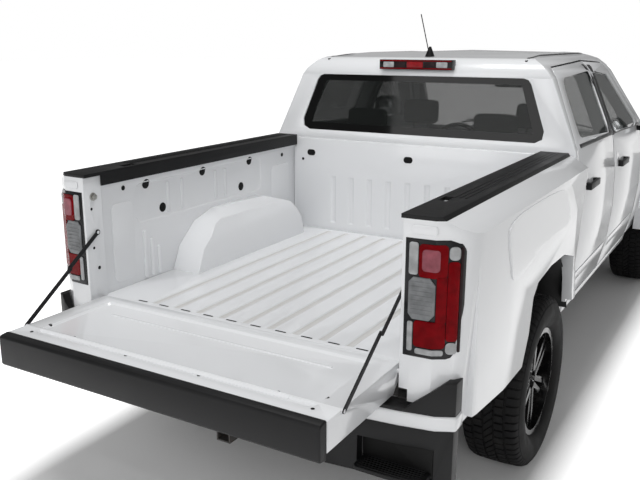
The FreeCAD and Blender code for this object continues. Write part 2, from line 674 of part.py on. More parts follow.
def make_cab():
    """The cab's shell, split at its real panels, with its fixed glass and its doors."""
    whole = cab_form()
    hollow = cab_form(mm.roof_thickness, mm.wall)
    step_line = cab_form(0, mm.pillar_depth_in)
    far = mm.cab_front + mm.overrun
    wide = mm.flare_half_width
    roof_line = mm.roof_rail_height
    openings = [screen_prism(), back_glass_prism()]
    for front in (True, False):
        seat = cut(door_prism(front, mm.door_gap), step_line)
        for shape in (seat, door_prism(front, -mm.pillar_lip)):
            openings += [shape, flip(shape)]
    under_floor = block((-mm.sill_half_width + mm.wall, 0, 0),
                        (mm.sill_half_width - mm.wall, far, mm.floor_height))
    cowl_low = mm.cowl_height - mm.roof_thickness
    before_wall = block((-wide, mm.firewall, 0), (wide, far, cowl_low))
    under_fender = block((-wide, mm.door_front, 0), (wide, far, cowl_low)).common(nose_form(-mm.panel_gap))
    under_fender = cut(under_fender, step_line)
    for front in (True, False):
        swing = door_swing(front, step_line)
        openings += [swing, flip(swing)]
    shell = cut(whole, hollow, under_floor, before_wall, under_fender, *openings)
    back_depth = mm.cab_back + mm.roof_thickness + mm.back_glass_lean
    middle_half = mm.rail_half_width - mm.wall
    roof_zone = block((-wide, 0, roof_line), (wide, far, mm.roof_height + mm.overrun))
    upper_depth = back_depth + mm.wall
    back_zone = block((-wide, 0, 0), (wide, back_depth, roof_line)).fuse(
        block((-wide, 0, mm.belt_height), (wide, upper_depth, roof_line)))
    side_zone = cut(both(block((middle_half, back_depth, 0), (wide, far, roof_line))), back_zone)
    cowl_zone = block((-middle_half, mm.wind_top, 0), (middle_half, far, mm.belt_height))
    floor_top = mm.floor_height + mm.floor_thickness
    floor = block((-wide, 0, mm.floor_height), (wide, mm.firewall, floor_top)).common(hollow)
    firewall = block((-wide, mm.firewall - mm.firewall_thickness, floor_top),
                     (wide, mm.firewall, cowl_low)).common(hollow)
    hinges = [shape for front in (True, False) for shape in door_hinges(front)]
    sides = shell.common(side_zone)
    right = fused(sides.common(block((0, 0, 0), (wide, far, roof_line))), *hinges)
    keep("cab_sides", both(right))
    keep("cab_roof", shell.common(roof_zone))
    keep("cab_back", shell.common(back_zone))
    bracket = []
    for x in (-mm.hood_hinge_spread, mm.hood_hinge_spread):
        plate_top = mm.cowl_panel_height - mm.hood_lug
        plate = prism([(mm.firewall, plate_top - mm.hood_lug * 1.5),
                       (mm.hood_pin_back, plate_top - mm.hood_lug * 1.5),
                       (mm.hood_pin_back + mm.hood_pin, mm.hood_pin_height),
                       (mm.hood_pin_back - mm.hood_pin, mm.hood_pin_height),
                       (mm.hood_pin_back - mm.hood_lug * 2, plate_top), (mm.firewall, plate_top)],
                      "x", x - mm.hood_lug / 4, x + mm.hood_lug / 4)
        pin = journal if x > 0 else bar
        bracket += [plate, pin("x", (x, mm.hood_pin_back, mm.hood_pin_height), mm.hood_pin, mm.hood_lug * 3,
                               pin_sides)]
    keep("cab_cowl", fused(shell.common(cowl_zone), firewall, *bracket))
    keep("cab_floor", floor)
    pane_depth = mm.skin
    panes = cut(cab_form(pane_depth), cab_form(pane_depth + mm.glass))
    keep("fixed_glass", Part.Compound([tidy(panes.common(screen_prism(mm.running_gap))),
                                       tidy(panes.common(back_glass_prism(mm.running_gap)))]))
    make_doors(whole)


def nose_form(inset=0):
    """The nose ahead of the doors as a solid: fenders and hood."""
    sides = prism(cab_section(), "y", mm.wind_top, mm.wheelbase + mm.front_overhang, inset=inset)
    fall = (mm.hood_edge_height - mm.nose_height) / (mm.hood_front - mm.hood_back)
    half = [
        (mm.waist_half_width + mm.overrun, 0),
        (mm.waist_half_width + mm.overrun, mm.shoulder_height - mm.overrun * 0.5),
        (mm.shoulder_half_width, mm.shoulder_height),
        Via(mm.shoulder_half_width * 0.955, mm.shoulder_height * 1.062),
        (mm.hood_half_width * 1.06, mm.hood_edge_height),
        Via(0, mm.hood_edge_height * 1.03),
    ]
    lean = Vector(0, 0, -fall)
    top = prism(mirrored_outline(half), "y", mm.hood_back, mm.wheelbase + mm.front_overhang, lean, inset)
    back = prism(mirrored_outline(half), "y", mm.wind_top, mm.hood_back, Vector(0, 0, -fall / 3), inset)
    front = mm.wheelbase + mm.front_overhang - mm.grille_depth
    corner = front - mm.front_bow
    wide = mm.waist_half_width + mm.overrun
    plan = prism([(-wide, 0), (wide, 0), (wide, corner - mm.front_bow), (mm.shoulder_half_width, corner),
                  Via(0, front), (-mm.shoulder_half_width, corner), (-wide, corner - mm.front_bow)],
                 "z", 0, mm.roof_height, inset=inset)
    return sides.common(top.fuse(back)).common(plan)


def arch_outline(half_length, height, low):
    """A squared wheel arch about its axle, as points (y, z)."""
    shares = [(-1.12, 0), (-1.03, 0.45), (-0.86, 0.86, 0.12), (-0.36, 1), (0.36, 1), (0.86, 0.86, 0.12),
              (1.03, 0.45), (1.12, 0)]
    return spread(shares, (0, low), (half_length, height))


def moved_outline(points, along):
    """An outline moved along the truck."""
    return [(p[0] + along,) + tuple(p[1:]) for p in points]


def make_nose():
    """Front fenders with their flares and liners, hood, grille, headlamps and front bumper."""
    whole = nose_form()
    far = mm.wheelbase + mm.front_overhang
    wide = mm.flare_half_width + mm.overrun
    make_fenders(whole, far, wide)
    under = nose_form(mm.hood_thickness)
    hood_zone = block((-mm.hood_half_width, mm.hood_back, mm.nose_height - mm.hood_thickness * 2),
                      (mm.hood_half_width, mm.hood_front, mm.roof_height))
    skin = cut(whole, under).common(hood_zone)
    lug_inner = mm.hood_lug / 4 + mm.panel_gap / 2
    lugs = []
    for x in (-mm.hood_hinge_spread, mm.hood_hinge_spread):
        for side in (-1, 1):
            start = x + side * lug_inner
            end = x + side * (lug_inner + mm.hood_lug)
            lug = prism([(mm.hood_back, mm.hood_pin_height - mm.hood_lug * 0.8),
                         (mm.hood_pin_back + mm.hood_lug, mm.hood_pin_height - mm.hood_lug * 0.8),
                         (mm.hood_pin_back + mm.hood_lug * 2, mm.roof_height), (mm.hood_back, mm.roof_height)],
                        "x", min(start, end), max(start, end))
            lugs.append(lug.common(under))
    bores = [bore("x", (x, mm.hood_pin_back, mm.hood_pin_height), mm.hood_pin + mm.running_gap,
                  mm.hood_lug * 4, pin_sides) for x in (-mm.hood_hinge_spread, mm.hood_hinge_spread)]
    keep("hood", cut(fused(skin, *lugs), *bores))
    make_front_face(whole, far, wide)
    make_front_bumper(far)


def make_fenders(whole, far, wide):
    """Front fenders with flares, and the liners that close their wheel arches."""
    arch_points = moved_outline(arch_outline(mm.arch_half_length, mm.arch_height, 0), front_axle)
    arch = prism(arch_points, "x", 0, wide)
    liner_form = prism(arch_points, "x", 0, wide, inset=-mm.fender_sheet)
    fender_back = mm.door_front + mm.door_gap
    inner = nose_form(mm.fender_sheet)
    zone = block((mm.hood_half_width + mm.panel_gap, fender_back, mm.door_sill),
                 (wide, mm.fender_front, mm.roof_height))
    cowl_low = mm.cowl_height - mm.roof_thickness
    screen_clear = cab_form(-mm.panel_gap).common(block((0, 0, cowl_low), (wide, far, mm.roof_height)))
    pillar_clear = cab_form(0, mm.pillar_depth_in - mm.panel_gap).common(
        block((0, 0, 0), (wide, mm.firewall + mm.panel_gap, cowl_low)))
    bumper_line = far - mm.grille_depth - mm.front_bow - mm.bumper_depth - mm.panel_gap
    bumper_clear = block((0, bumper_line, 0), (wide, far, mm.bumper_high + mm.panel_gap))
    door_clear = door_swing(True, cab_form(0, mm.pillar_depth_in))
    fender = cut(whole.common(zone), inner, arch, screen_clear, pillar_clear, bumper_clear, door_clear)
    flare_points = moved_outline(arch_outline(mm.arch_half_length + mm.flare_width,
                                              mm.arch_height + mm.flare_width, mm.arch_low), front_axle)
    flare = cut(prism(flare_points, "x", mm.belt_half_width, mm.flare_half_width), arch, inner)
    flare = cut(flare.common(block((0, fender_back, 0), (wide, far, mm.roof_height))), bumper_clear)
    apron_x = mm.nose_rail_spacing / 2 + mm.rail_width / 2
    rail_top = mm.rail_nose + mm.rail_depth
    liner = cut(liner_form, arch).common(block((apron_x, 0, rail_top), (wide, far, mm.roof_height)))
    liner = cut(liner.common(inner), bumper_clear)
    apron = liner_form.common(block((apron_x, 0, rail_top - mm.cross_depth / 2),
                                    (apron_x + mm.fender_sheet, far, mm.roof_height)))
    apron = cut(apron, bumper_clear)
    keep("front_fenders", both(fused(fender, flare, liner, apron)))


def make_front_face(whole, far, wide):
    """Grille with its bars, the radiator behind it and the headlamps."""
    back = mm.hood_front + mm.panel_gap
    frame = block((-mm.grille_half_width, back, mm.grille_low), (mm.grille_half_width, far, mm.grille_high))
    edge = mm.grille_bar
    opening = block((-mm.grille_half_width + edge, 0, mm.grille_low + edge),
                    (mm.grille_half_width - edge, far, mm.grille_high - edge))
    bars = []
    bar_count = 4
    pitch = (mm.grille_high - mm.grille_low) / (bar_count + 1)
    for row in range(1, bar_count + 1):
        height = mm.grille_low + row * pitch
        bars.append(block((-mm.grille_half_width + edge, back, height - edge / 2),
                          (mm.grille_half_width - edge, back + mm.grille_depth, height + edge / 2)))
    grille = cut(frame, opening)
    grille = fused(grille, *bars).common(whole)
    radiator_front = back - mm.grille_depth
    radiator = block((-mm.grille_half_width + edge, radiator_front - mm.radiator_depth, mm.bumper_high),
                     (mm.grille_half_width - edge, radiator_front, mm.grille_high))
    keep("grille", Part.Compound([tidy(grille), radiator]))
    lamp = whole.common(block((mm.grille_half_width, mm.fender_front, mm.lamp_low),
                              (wide, far, mm.grille_high)))
    lamp = cut(lamp, nose_form(mm.grille_depth * 2), block((0, 0, 0), (mm.hood_half_width + mm.panel_gap,
                                                                     back, mm.roof_height)))
    lamps.append(tidy(both(lamp)))


def make_front_bumper(far):
    """Front bumper with its lower intake, carried by the frame's front ends."""
    corner = far - mm.grille_depth - mm.front_bow
    back = corner - mm.bumper_depth
    half = mm.bumper_half_width
    plan = [(-half, back), (-half, corner), Via(0, far), (half, corner), (half, back),
            (mm.hood_half_width, back), (mm.hood_half_width, back + mm.bumper_depth / 2),
            (-mm.hood_half_width, back + mm.bumper_depth / 2), (-mm.hood_half_width, back)]
    bumper = prism(plan, "z", mm.bumper_low, mm.bumper_high)
    lip = mm.grille_bar * 4
    intake = block((-mm.grille_half_width, 0, mm.bumper_low + lip),
                   (mm.grille_half_width, far - mm.grille_bar, mm.bumper_high - lip))
    keep("front_bumper", cut(bumper, intake, frame_shape[0]))


def bed_side_section():
    """The bed side's cross-section: outer skin, rail and inner wall, open below."""
    sheet = mm.wall_sheet
    inner = mm.bed_half_width
    return [
        (mm.side_low_half_width - sheet, mm.side_low), (mm.side_low_half_width, mm.side_low),
        (mm.side_half_width, mm.side_crease), (mm.rail_outer, mm.rail_top), (mm.rail_inner, mm.rail_top),
        (mm.rail_inner, mm.rail_low_edge), (inner - sheet, mm.rail_low_edge),
        (inner - sheet, mm.bed_floor - mm.floor_plate), (inner, mm.bed_floor - mm.floor_plate),
        (inner, mm.rail_low_edge), (mm.rail_outer, mm.rail_low_edge),
        (mm.side_half_width - sheet, mm.rail_low_edge - sheet),
    ]


bed_corner_shares = [(0, 0), (0.4, 0.03), (0.75, 0.28), (0.94, 0.62), (1, 1)]


def bed_plan():
    """The right half of the bed seen from above, its rear corner rounded and its flare swelling out."""
    width = mm.side_half_width
    corner_low = (width - mm.corner_width, -mm.side_back)
    corner = spread(bed_corner_shares, corner_low, (width, -mm.side_back + mm.corner_depth))
    front = mm.headboard + mm.headboard_thickness
    return [(0, -mm.side_back)] + corner + [
        (mm.flare_half_width, -mm.flare_wide_back), (mm.flare_half_width, mm.flare_wide_front),
        (width, mm.flare_end), (width, front), (0, front)]


bed_arch_shares = [(-1.3, -0.2), (-1.0, 0.38), (-0.92, 0.8), (-0.77, 0.94), (-0.3, 1), (0.27, 0.98),
                   (0.76, 0.82), (1.0, 0.4), (1.2, -0.2)]
bed_flare_shares = [(-2.4, 0.05), (-2.4, 1.93), (0.4, 1.93), (0.6, 1.8), (0.85, 1.35), (1.12, 0.6), (1.27, 0.05)]


# How many pressed grooves lie on each side of the middle one
rib_rows = 4


def rounded_box(low, high, radius):
    """A box outline between two corners, its own corners rounded."""
    corners = [(low[0], low[1], radius), (high[0], low[1], radius), (high[0], high[1], radius),
               (low[0], high[1], radius)]
    outline = []
    for index, corner in enumerate(corners):
        outline += rounded(corners[index - 1], corner, corners[(index + 1) % len(corners)])
    return outline


def rib_groove(low, high, axis, surface, sign):
    """A pressed groove with sloping sides, sunk from a surface along an axis."""
    outline = [low, (high[0], low[1]), high, (low[0], high[1])]
    return drafted(outline, axis, surface, surface + sign * mm.rib_depth, mm.rib_depth)


def stake_pocket():
    """The pocket near the rear of the right bed rail."""
    return block((mm.pillar_inner + mm.cap_lip, -mm.stake_back, mm.rail_top - mm.stake_depth),
                 (mm.pillar_inner + mm.cap_lip + mm.stake_width, -mm.stake_back + mm.stake_length,
                  mm.rail_top + mm.overrun))


def make_bed():
    """Bed floor, headboard, wheelhouses, hollow sides, rail caps and rear lamps."""
    front = mm.headboard + mm.headboard_thickness
    far = mm.flare_half_width + mm.overrun
    plan = prism(bed_plan(), "z", 0, mm.roof_height)
    side = prism(bed_side_section(), "y", -mm.side_back, front)
    pillar = block((mm.pillar_inner, -mm.side_back, mm.hinge_height - mm.hinge_lug * 1.5),
                   (mm.bed_half_width, -mm.side_back + mm.pillar_depth, mm.rail_top))
    post_length = mm.bed_half_width - mm.pillar_inner + mm.pillar_reach
    post = journal("x", (mm.bed_half_width - post_length / 2, -mm.cable_post_back, mm.cable_post_height),
                   mm.cable_pin, post_length)
    socket = bore("x", (0, -mm.hinge_back, mm.hinge_height), mm.hinge_pin + mm.running_gap,
                  2 * (mm.pillar_inner + mm.hinge_reach + mm.running_gap), pin_sides)
    corner_zone = block((mm.bed_half_width, -mm.side_back, mm.side_low),
                        (mm.side_half_width, -mm.side_back + mm.corner_depth, mm.rail_low_edge))
    corner = cut(plan, prism(bed_plan(), "z", 0, mm.roof_height, inset=mm.wall_sheet)).common(corner_zone)
    arch_low = (0, mm.side_low)
    arch_high = (mm.wheelhouse_front, mm.wheelhouse_top - mm.wall_sheet * 5)
    arch = prism(spread(bed_arch_shares, arch_low, arch_high), "x", mm.bed_half_width, far)
    flare_limit = prism([(mm.side_low_half_width - mm.wall_sheet, mm.side_low),
                         (mm.flare_half_width, mm.side_low), (mm.flare_half_width, mm.flare_crease),
                         (mm.side_half_width, mm.side_crease),
                         (mm.side_half_width - mm.wall_sheet, mm.side_crease)],
                        "y", -mm.side_back, front)
    flare = prism(spread(bed_flare_shares, arch_low, arch_high), "x", mm.bed_half_width, far)
    flare = cut(flare.common(flare_limit), arch)
    lamp_points = [(mm.lamp_inner, mm.lamp_bottom), (mm.lamp_foot, mm.lamp_bottom, mm.lamp_corner / 2),
                   (mm.lamp_outer, (mm.lamp_bottom + mm.lamp_top) / 2),
                   (mm.lamp_outer, mm.lamp_top, mm.lamp_corner), (mm.lamp_inner, mm.lamp_top)]
    lamp_back = -mm.side_back - mm.cable_gap
    lamp_front = -mm.side_back + mm.lamp_depth
    pocket = prism(lamp_points, "y", -mm.side_back - mm.overrun, lamp_front + mm.running_gap,
                   inset=-mm.running_gap)
    bumper_end = -mm.rear_bumper_back + mm.rear_bumper_bow * rear_bar_shares[0][1] + mm.panel_gap
    above_bumper = block((0, -mm.side_back - mm.overrun, 0), (far, bumper_end, mm.step_height + mm.panel_gap))
    outer_limit = prism([(0, 0), (mm.side_low_half_width, mm.side_low),
                         (mm.side_half_width, mm.side_crease), (mm.rail_outer, mm.rail_top), (0, mm.rail_top)],
                        "y", -mm.side_back - mm.overrun, front)
    panel = drafted(straightened(rounded_box((-mm.panel_back, mm.panel_low), (mm.panel_front, mm.panel_high),
                                             mm.panel_round)),
                    "x", mm.bed_half_width - mm.wall_sheet, mm.bed_half_width - mm.wall_sheet + mm.panel_depth,
                    mm.panel_depth)
    stake = stake_pocket()
    side = fused(side, pillar, corner.common(outer_limit), flare, post).common(plan)
    side = cut(side, pocket, arch, socket, above_bumper, panel, stake)
    lamp = prism(lamp_points, "y", lamp_back, lamp_front).common(outer_limit)
    lamp = lamp.common(prism(bed_plan(), "z", 0, mm.roof_height, inset=-mm.cable_gap))
    keep("bed_sides", both(side))
    third = block((-mm.brake_lamp_half_width, mm.cab_back, mm.brake_lamp_low),
                  (mm.brake_lamp_half_width, mm.cab_back + mm.back_glass_lean + mm.wall_sheet,
                   mm.brake_lamp_high))
    third = cut(third, cab_form(-mm.running_gap))
    lamps.extend([tidy(lamp), tidy(flip(lamp)), tidy(third)])
    cap_high = mm.rail_top + mm.cap_thickness
    cap_inner = mm.rail_inner - mm.cap_lip
    cap_points = [(cap_inner, mm.rail_top - mm.cap_flange), (mm.rail_inner, mm.rail_top - mm.cap_flange),
                  (mm.rail_inner, mm.rail_top), (mm.rail_outer, mm.rail_top),
                  (mm.rail_outer - mm.cap_lip, cap_high), (cap_inner, cap_high)]
    cap = prism(cap_points, "y", -mm.side_back + mm.pillar_depth, mm.headboard)
    over_pillar = prism(cap_points[2:] + [(cap_inner, mm.rail_top)], "y", -mm.side_back,
                        -mm.side_back + mm.pillar_depth)
    keep("rail_caps", both(cut(fused(cap, over_pillar).common(plan), stake)))
    inner_wall = mm.bed_half_width - mm.wall_sheet
    board = block((-inner_wall, mm.headboard, mm.bed_floor - mm.floor_plate),
                  (inner_wall, front, mm.rail_low_edge))
    board_top = block((-mm.pillar_inner, mm.headboard, mm.rail_low_edge),
                      (mm.pillar_inner, front, mm.rail_top))
    ribs = [rib_groove((row * mm.rib_pitch - mm.rib_width / 2, mm.board_rib_low),
                       (row * mm.rib_pitch + mm.rib_width / 2, mm.board_rib_high), "y", mm.headboard, 1)
            for row in range(-rib_rows, rib_rows + 1)]
    keep("headboard", cut(fused(board, board_top), *ribs))
    make_bed_floor(inner_wall)
    make_wheelhouses(inner_wall)


def make_bed_floor(inner_wall):
    """The ribbed bed floor with its cross sills."""
    low = mm.bed_floor - mm.floor_plate
    plate = block((-inner_wall, -mm.floor_edge, low), (inner_wall, mm.headboard, mm.bed_floor))
    house = both(block((mm.wheelhouse_inner, -mm.wheelhouse_back, 0),
                       (inner_wall + mm.overrun, mm.wheelhouse_front, mm.roof_height)))
    grooves = [rib_groove((row * mm.rib_pitch - mm.rib_width / 2, -mm.floor_edge + mm.rib_width),
                          (row * mm.rib_pitch + mm.rib_width / 2, mm.headboard - mm.rib_width),
                          "z", mm.bed_floor, -1)
               for row in range(-rib_rows, rib_rows + 1)]
    pillars = both(block((mm.pillar_inner, -mm.floor_edge, low - mm.overrun),
                         (inner_wall + mm.overrun, -mm.side_back + mm.pillar_depth, mm.roof_height)))
    plate = cut(plate, house, pillars, *grooves)
    sill_low = mm.rail_over_axle + mm.rail_depth
    sills = []
    sill_count = 5
    for index in range(sill_count):
        place = -mm.floor_edge + (mm.headboard + mm.floor_edge - mm.cross_width) * index / (sill_count - 1)
        sills.append(block((-mm.wheelhouse_inner + mm.wall_sheet, place, sill_low),
                           (mm.wheelhouse_inner - mm.wall_sheet, place + mm.cross_width, low)))
    keep("bed_floor", fused(plate, *sills))


wheelhouse_shares = [(0, 0), (0, 0.3), (0.05, 0.6), (0.17, 0.88), (0.32, 1), (0.72, 1), (0.88, 0.86),
                     (0.97, 0.58), (1, 0.3), (1, 0)]


def make_wheelhouses(inner_wall):
    """The domes inside the bed that clear the rear tyres."""
    sheet = mm.wall_sheet
    high = (mm.wheelhouse_front, mm.wheelhouse_top)
    dome_points = spread(wheelhouse_shares, (-mm.wheelhouse_back, mm.wheelhouse_low), high)
    drop = [(dome_points[0][0], 0)] + dome_points[1:-1] + [(dome_points[-1][0], 0)]

    def dome_section(inset, low, wide):
        return [(mm.wheelhouse_inner + inset, low),
                (mm.wheelhouse_inner + inset, mm.wheelhouse_top - inset, mm.wheelhouse_round - inset),
                (wide, mm.wheelhouse_top - inset), (wide, low)]

    far = inner_wall + mm.overrun
    outer = prism(dome_points, "x", mm.wheelhouse_inner, inner_wall)
    outer = outer.common(prism(dome_section(0, mm.wheelhouse_low, inner_wall), "y", -mm.wheelhouse_back,
                               mm.wheelhouse_front))
    hollow = prism(drop, "x", mm.wheelhouse_inner, far, inset=sheet)
    hollow = hollow.common(prism(dome_section(sheet, 0, far), "y", -mm.wheelhouse_back, mm.wheelhouse_front))
    keep("wheelhouses", both(cut(outer, hollow)))


def make_tailgate():
    """The lowered tailgate, its cap, its side hinges and its two folding stays."""
    top = mm.hinge_height + mm.gate_inner
    bottom = mm.hinge_height - mm.gate_outer
    root = -mm.hinge_back + mm.gate_root
    end = -mm.hinge_back - mm.gate_rise
    cap_start = end + mm.gate_cap_width
    half = mm.gate_half_width
    gate = prism([(root, bottom + mm.gate_inner * 2), (root, top), (cap_start, top), (cap_start, bottom),
                  (root - mm.gate_inner * 2, bottom)], "x", -half, half)
    panel = drafted(rounded_box((-half + mm.gate_outer, cap_start + mm.gate_inner * 2),
                                (half - mm.gate_outer, root - mm.gate_inner * 2), mm.panel_round),
                    "z", top, top - mm.rib_depth, mm.rib_depth)
    pins = [journal("x", (0, -mm.hinge_back, mm.hinge_height), mm.hinge_pin,
                    2 * (mm.pillar_inner + mm.hinge_reach))]
    pins.append(bar("x", (0, -mm.cable_end_back, mm.cable_end_height - mm.cable_pin), mm.cable_pin * 1.5,
                    2 * half))
    pins.append(journal("x", (0, -mm.cable_end_back, mm.cable_end_height), mm.cable_pin,
                        2 * (half + mm.cable_gap * 2 + mm.cable_thickness)))
    gate = fused(cut(gate, panel), *pins)
    keep("tailgate", gate)
    cap = prism([(cap_start, bottom - mm.gate_inner), (cap_start, top + mm.cap_lip / 2),
                 (end, top, mm.cap_lip), (end, bottom - mm.gate_inner * 0.6, mm.cap_lip)], "x", -half, half)
    keep("gate_cap", cap)
    make_stays()


def stay_points():
    """The stay's three pivots (y, z) on the pillar, at the fold and on the gate."""
    post = Vector(0, -mm.cable_post_back, mm.cable_post_height)
    end = Vector(0, -mm.cable_end_back, mm.cable_end_height)
    run = (end - post).normalize()
    fold = post + run * mm.upper_link
    return post, fold, end


def stay_link(start, end, held, inner):
    """A flat link with round ends on the right side, bored where its pin holds it."""
    half = mm.cable_width / 2
    run = (end - start).normalize()
    side = Vector(0, -run.z, run.y) * half
    at = Vector(inner, 0, 0)
    corners = [start + side + at, end + side + at, end - side + at, start - side + at]
    strip = Part.Face(Part.makePolygon(corners + corners[:1])).extrude(Vector(mm.cable_thickness, 0, 0))
    thick = Vector(mm.cable_thickness, 0, 0)
    rounds = [rod(point + at, point + at + thick, half, pin_sides) for point in (start, end)]
    hole = bore("x", held + at, mm.cable_pin + mm.running_gap, mm.cable_thickness * 4, pin_sides)
    return cut(fused(strip, *rounds), hole)


def make_stays():
    """The folding stays between the pillars and the gate, taut while the gate is down."""
    post, fold, end = stay_points()
    lower_inner = mm.gate_half_width + mm.cable_gap * 2
    upper_inner = lower_inner + mm.cable_thickness + mm.cable_gap
    keep("upper_stays", both(stay_link(post, fold, post, upper_inner)))
    keep("lower_stays", both(stay_link(fold, end, end, lower_inner)))


rear_bar_shares = [(1, 1.7), (1, 1.05), (0.93, 0.72), (0.8, 0.5), (0.4, 0.1)]


def rear_bar_plan():
    """The rear bumper seen from above, its corners wrapping forward."""
    half = mm.rear_bumper_half_width
    back = -mm.rear_bumper_back
    depth = mm.rear_bumper_depth
    outer = spread(rear_bar_shares, (0, back), (half, back + mm.rear_bumper_bow))
    inner = [(half - depth, outer[0][1]), (half - depth, back + (mm.rear_bumper_bow + depth) * 0.6),
             (0, back + depth * 0.75)]
    right = outer[::-1] + inner[:2]
    left = [(-u, v) for u, v in right[::-1]]
    return [(0, back)] + right + [inner[2]] + left


def rear_bar():
    """The rear bumper's solid bar."""
    return prism(rear_bar_plan(), "z", mm.rear_bumper_low, mm.rear_bumper_high)


def make_rear_bumper():
    """Rear bumper bar, its step pads and lower skirt, and the tow hitch."""
    plan = rear_bar_plan()
    half = mm.side_half_width
    back = -mm.rear_bumper_back
    keep("rear_bumper", rear_bar())
    step = prism(plan, "z", mm.rear_bumper_high, mm.step_height, inset=mm.cap_lip / 2)
    rise = prism([(mm.pad_corner_inner, mm.step_height - mm.cap_thickness),
                  (mm.rear_bumper_half_width, mm.step_height - mm.cap_thickness),
                  (mm.rear_bumper_half_width, mm.pad_corner_height), (mm.pad_corner_outer, mm.pad_corner_height),
                  (mm.pad_corner_inner, mm.step_height)], "y", back, -mm.side_back + mm.corner_depth)
    rise = rise.common(prism(plan, "z", mm.rear_bumper_high, mm.pad_corner_height, inset=mm.cap_lip / 2))
    rise = cut(rise, prism(bed_plan(), "z", mm.step_height, mm.roof_height, inset=-mm.panel_gap))
    step = fused(step, rise, flip(rise))
    skirt = prism(plan, "z", mm.fascia_low, mm.rear_bumper_low, inset=mm.cap_lip)
    tread_top = mm.fascia_low + mm.step_plate
    tread_space = block((mm.step_pocket_inner, back - mm.overrun, tread_top),
                        (mm.step_pocket_outer, back + mm.step_pocket_depth + mm.rear_bumper_bow / 2,
                         mm.rear_bumper_low - mm.step_pocket_depth))
    skirt = cut(skirt, both(tread_space))
    notch = block((-half / 2, back - mm.overrun, 0),
                  (half / 2, back + mm.overrun, mm.fascia_low + (mm.rear_bumper_low - mm.fascia_low) / 2))
    keep("bumper_pads", Part.Compound([step, cut(skirt, notch)]))
    outer = mm.receiver_bore / 2 + mm.receiver_wall
    tube = block((-outer, -mm.receiver_back, mm.receiver_height - outer),
                 (outer, -mm.receiver_back + mm.receiver_length, mm.receiver_height + outer))
    socket = block((-mm.receiver_bore / 2, -mm.receiver_back - mm.overrun,
                    mm.receiver_height - mm.receiver_bore / 2),
                   (mm.receiver_bore / 2, -mm.receiver_back + mm.receiver_length,
                    mm.receiver_height + mm.receiver_bore / 2))
    pin = Part.makeCylinder(mm.hitch_pin, 4 * outer,
                            Vector(-2 * outer, -mm.hitch_pin_back, mm.receiver_height), Vector(1, 0, 0))
    rail_x = mm.rail_spacing / 2
    beam_y = -mm.receiver_back + mm.receiver_length - mm.hitch_tube / 2
    beam = block((-rail_x, beam_y - mm.hitch_tube / 2, mm.receiver_height + outer),
                 (rail_x, beam_y + mm.hitch_tube / 2, mm.receiver_height + outer + mm.hitch_tube))
    drops = [block((side_x - mm.receiver_wall, beam_y - mm.hitch_tube / 2, mm.receiver_height + outer),
                   (side_x, beam_y + mm.hitch_tube / 2, mm.rail_over_axle))
             for side_x in (rail_x, -rail_x + mm.receiver_wall)]
    hitch = cut(fused(tube, beam, *drops), socket, pin)
    keep("tow_hitch", hitch)


def rail_outline():
    """A frame rail's side outline, kicked up over the rear axle."""
    deep = mm.rail_depth
    low = mm.rail_low
    over = mm.rail_over_axle
    nose = mm.rail_nose
    back_high, back_low = mm.cab_back * 0.45, mm.cab_back * 0.96
    front_low = mm.firewall + mm.door_gap
    front_high = mm.wheelbase - mm.arch_half_length * 0.75
    slant = deep * 0.25
    lower = [(-mm.rail_back, over), (back_high, over), (back_low, low), (front_low + slant, low),
             (front_high + slant, nose), (mm.rail_front, nose)]
    upper = [(mm.rail_front, nose + deep), (front_high, nose + deep), (front_low, low + deep),
             (back_low - slant, low + deep), (back_high - slant, over + deep), (-mm.rail_back, over + deep)]
    return lower + upper


def make_frame():
    """Ladder frame with its cross members and the bumper brackets."""
    side = prism(rail_outline(), "x", 0, mm.rail_spacing)
    wide = mm.rail_spacing / 2
    narrow = mm.nose_rail_spacing / 2
    half = mm.rail_width / 2
    turn = mm.wheelbase - mm.arch_half_length * 2
    end = mm.wheelbase - mm.arch_half_length
    plan = prism([(wide - half, -mm.rail_back), (wide + half, -mm.rail_back), (wide + half, turn),
                  (narrow + half, end), (narrow + half, mm.rail_front), (narrow - half, mm.rail_front),
                  (narrow - half, end), (wide - half, turn)], "z", 0, mm.cowl_height)
    rail = side.common(plan)
    members = []
    for place, low, reach in ((-mm.rail_back, mm.rail_over_axle, wide),
                              (mm.cab_back * 0.3, mm.rail_over_axle, wide),
                              (mm.wheelbase / 2, mm.rail_low, wide),
                              (turn - mm.cross_width, mm.rail_low, wide),
                              (mm.rail_front - mm.cross_width, mm.rail_nose, narrow)):
        members.append(block((-reach, place, low), (reach, place + mm.cross_width, low + mm.cross_depth)))
    inner_nose = narrow - half
    for near, far in ((-inner_nose, -mm.engine_width / 2), (mm.engine_width / 2, inner_nose)):
        members.append(block((near, mm.wheelbase - mm.engine_mount / 2, mm.rail_nose),
                             (far, mm.wheelbase + mm.engine_mount / 2, mm.rail_nose + mm.engine_mount)))
    low_top = mm.rail_low + mm.rail_depth
    mounts = [rod((x, place, low_top), (x, place, mm.floor_height), mm.mount_radius)
              for x in (-wide, wide) for place in (mm.cab_back * 1.8, mm.wheelbase / 2, turn)]
    bar_middle = -mm.rear_bumper_back + mm.rear_bumper_depth * 0.75
    brackets = [block((x - half, bar_middle, mm.rear_bumper_low), (x + half, -mm.rail_back, mm.rear_bumper_high))
                for x in (-wide, wide)]
    box = gearbox_box()
    gear_clear = block((box[0][0], box[0][1], 0), box[1])
    shaft_clear = rod(*shaft_run(), mm.shaft_radius * 1.4)
    frame = cut(fused(rail, flip(rail), *members, *mounts, *brackets), gear_clear, shaft_clear,
                rear_bar(), tank_box())
    frame_shape.append(frame)
    keep("chassis_frame", frame)


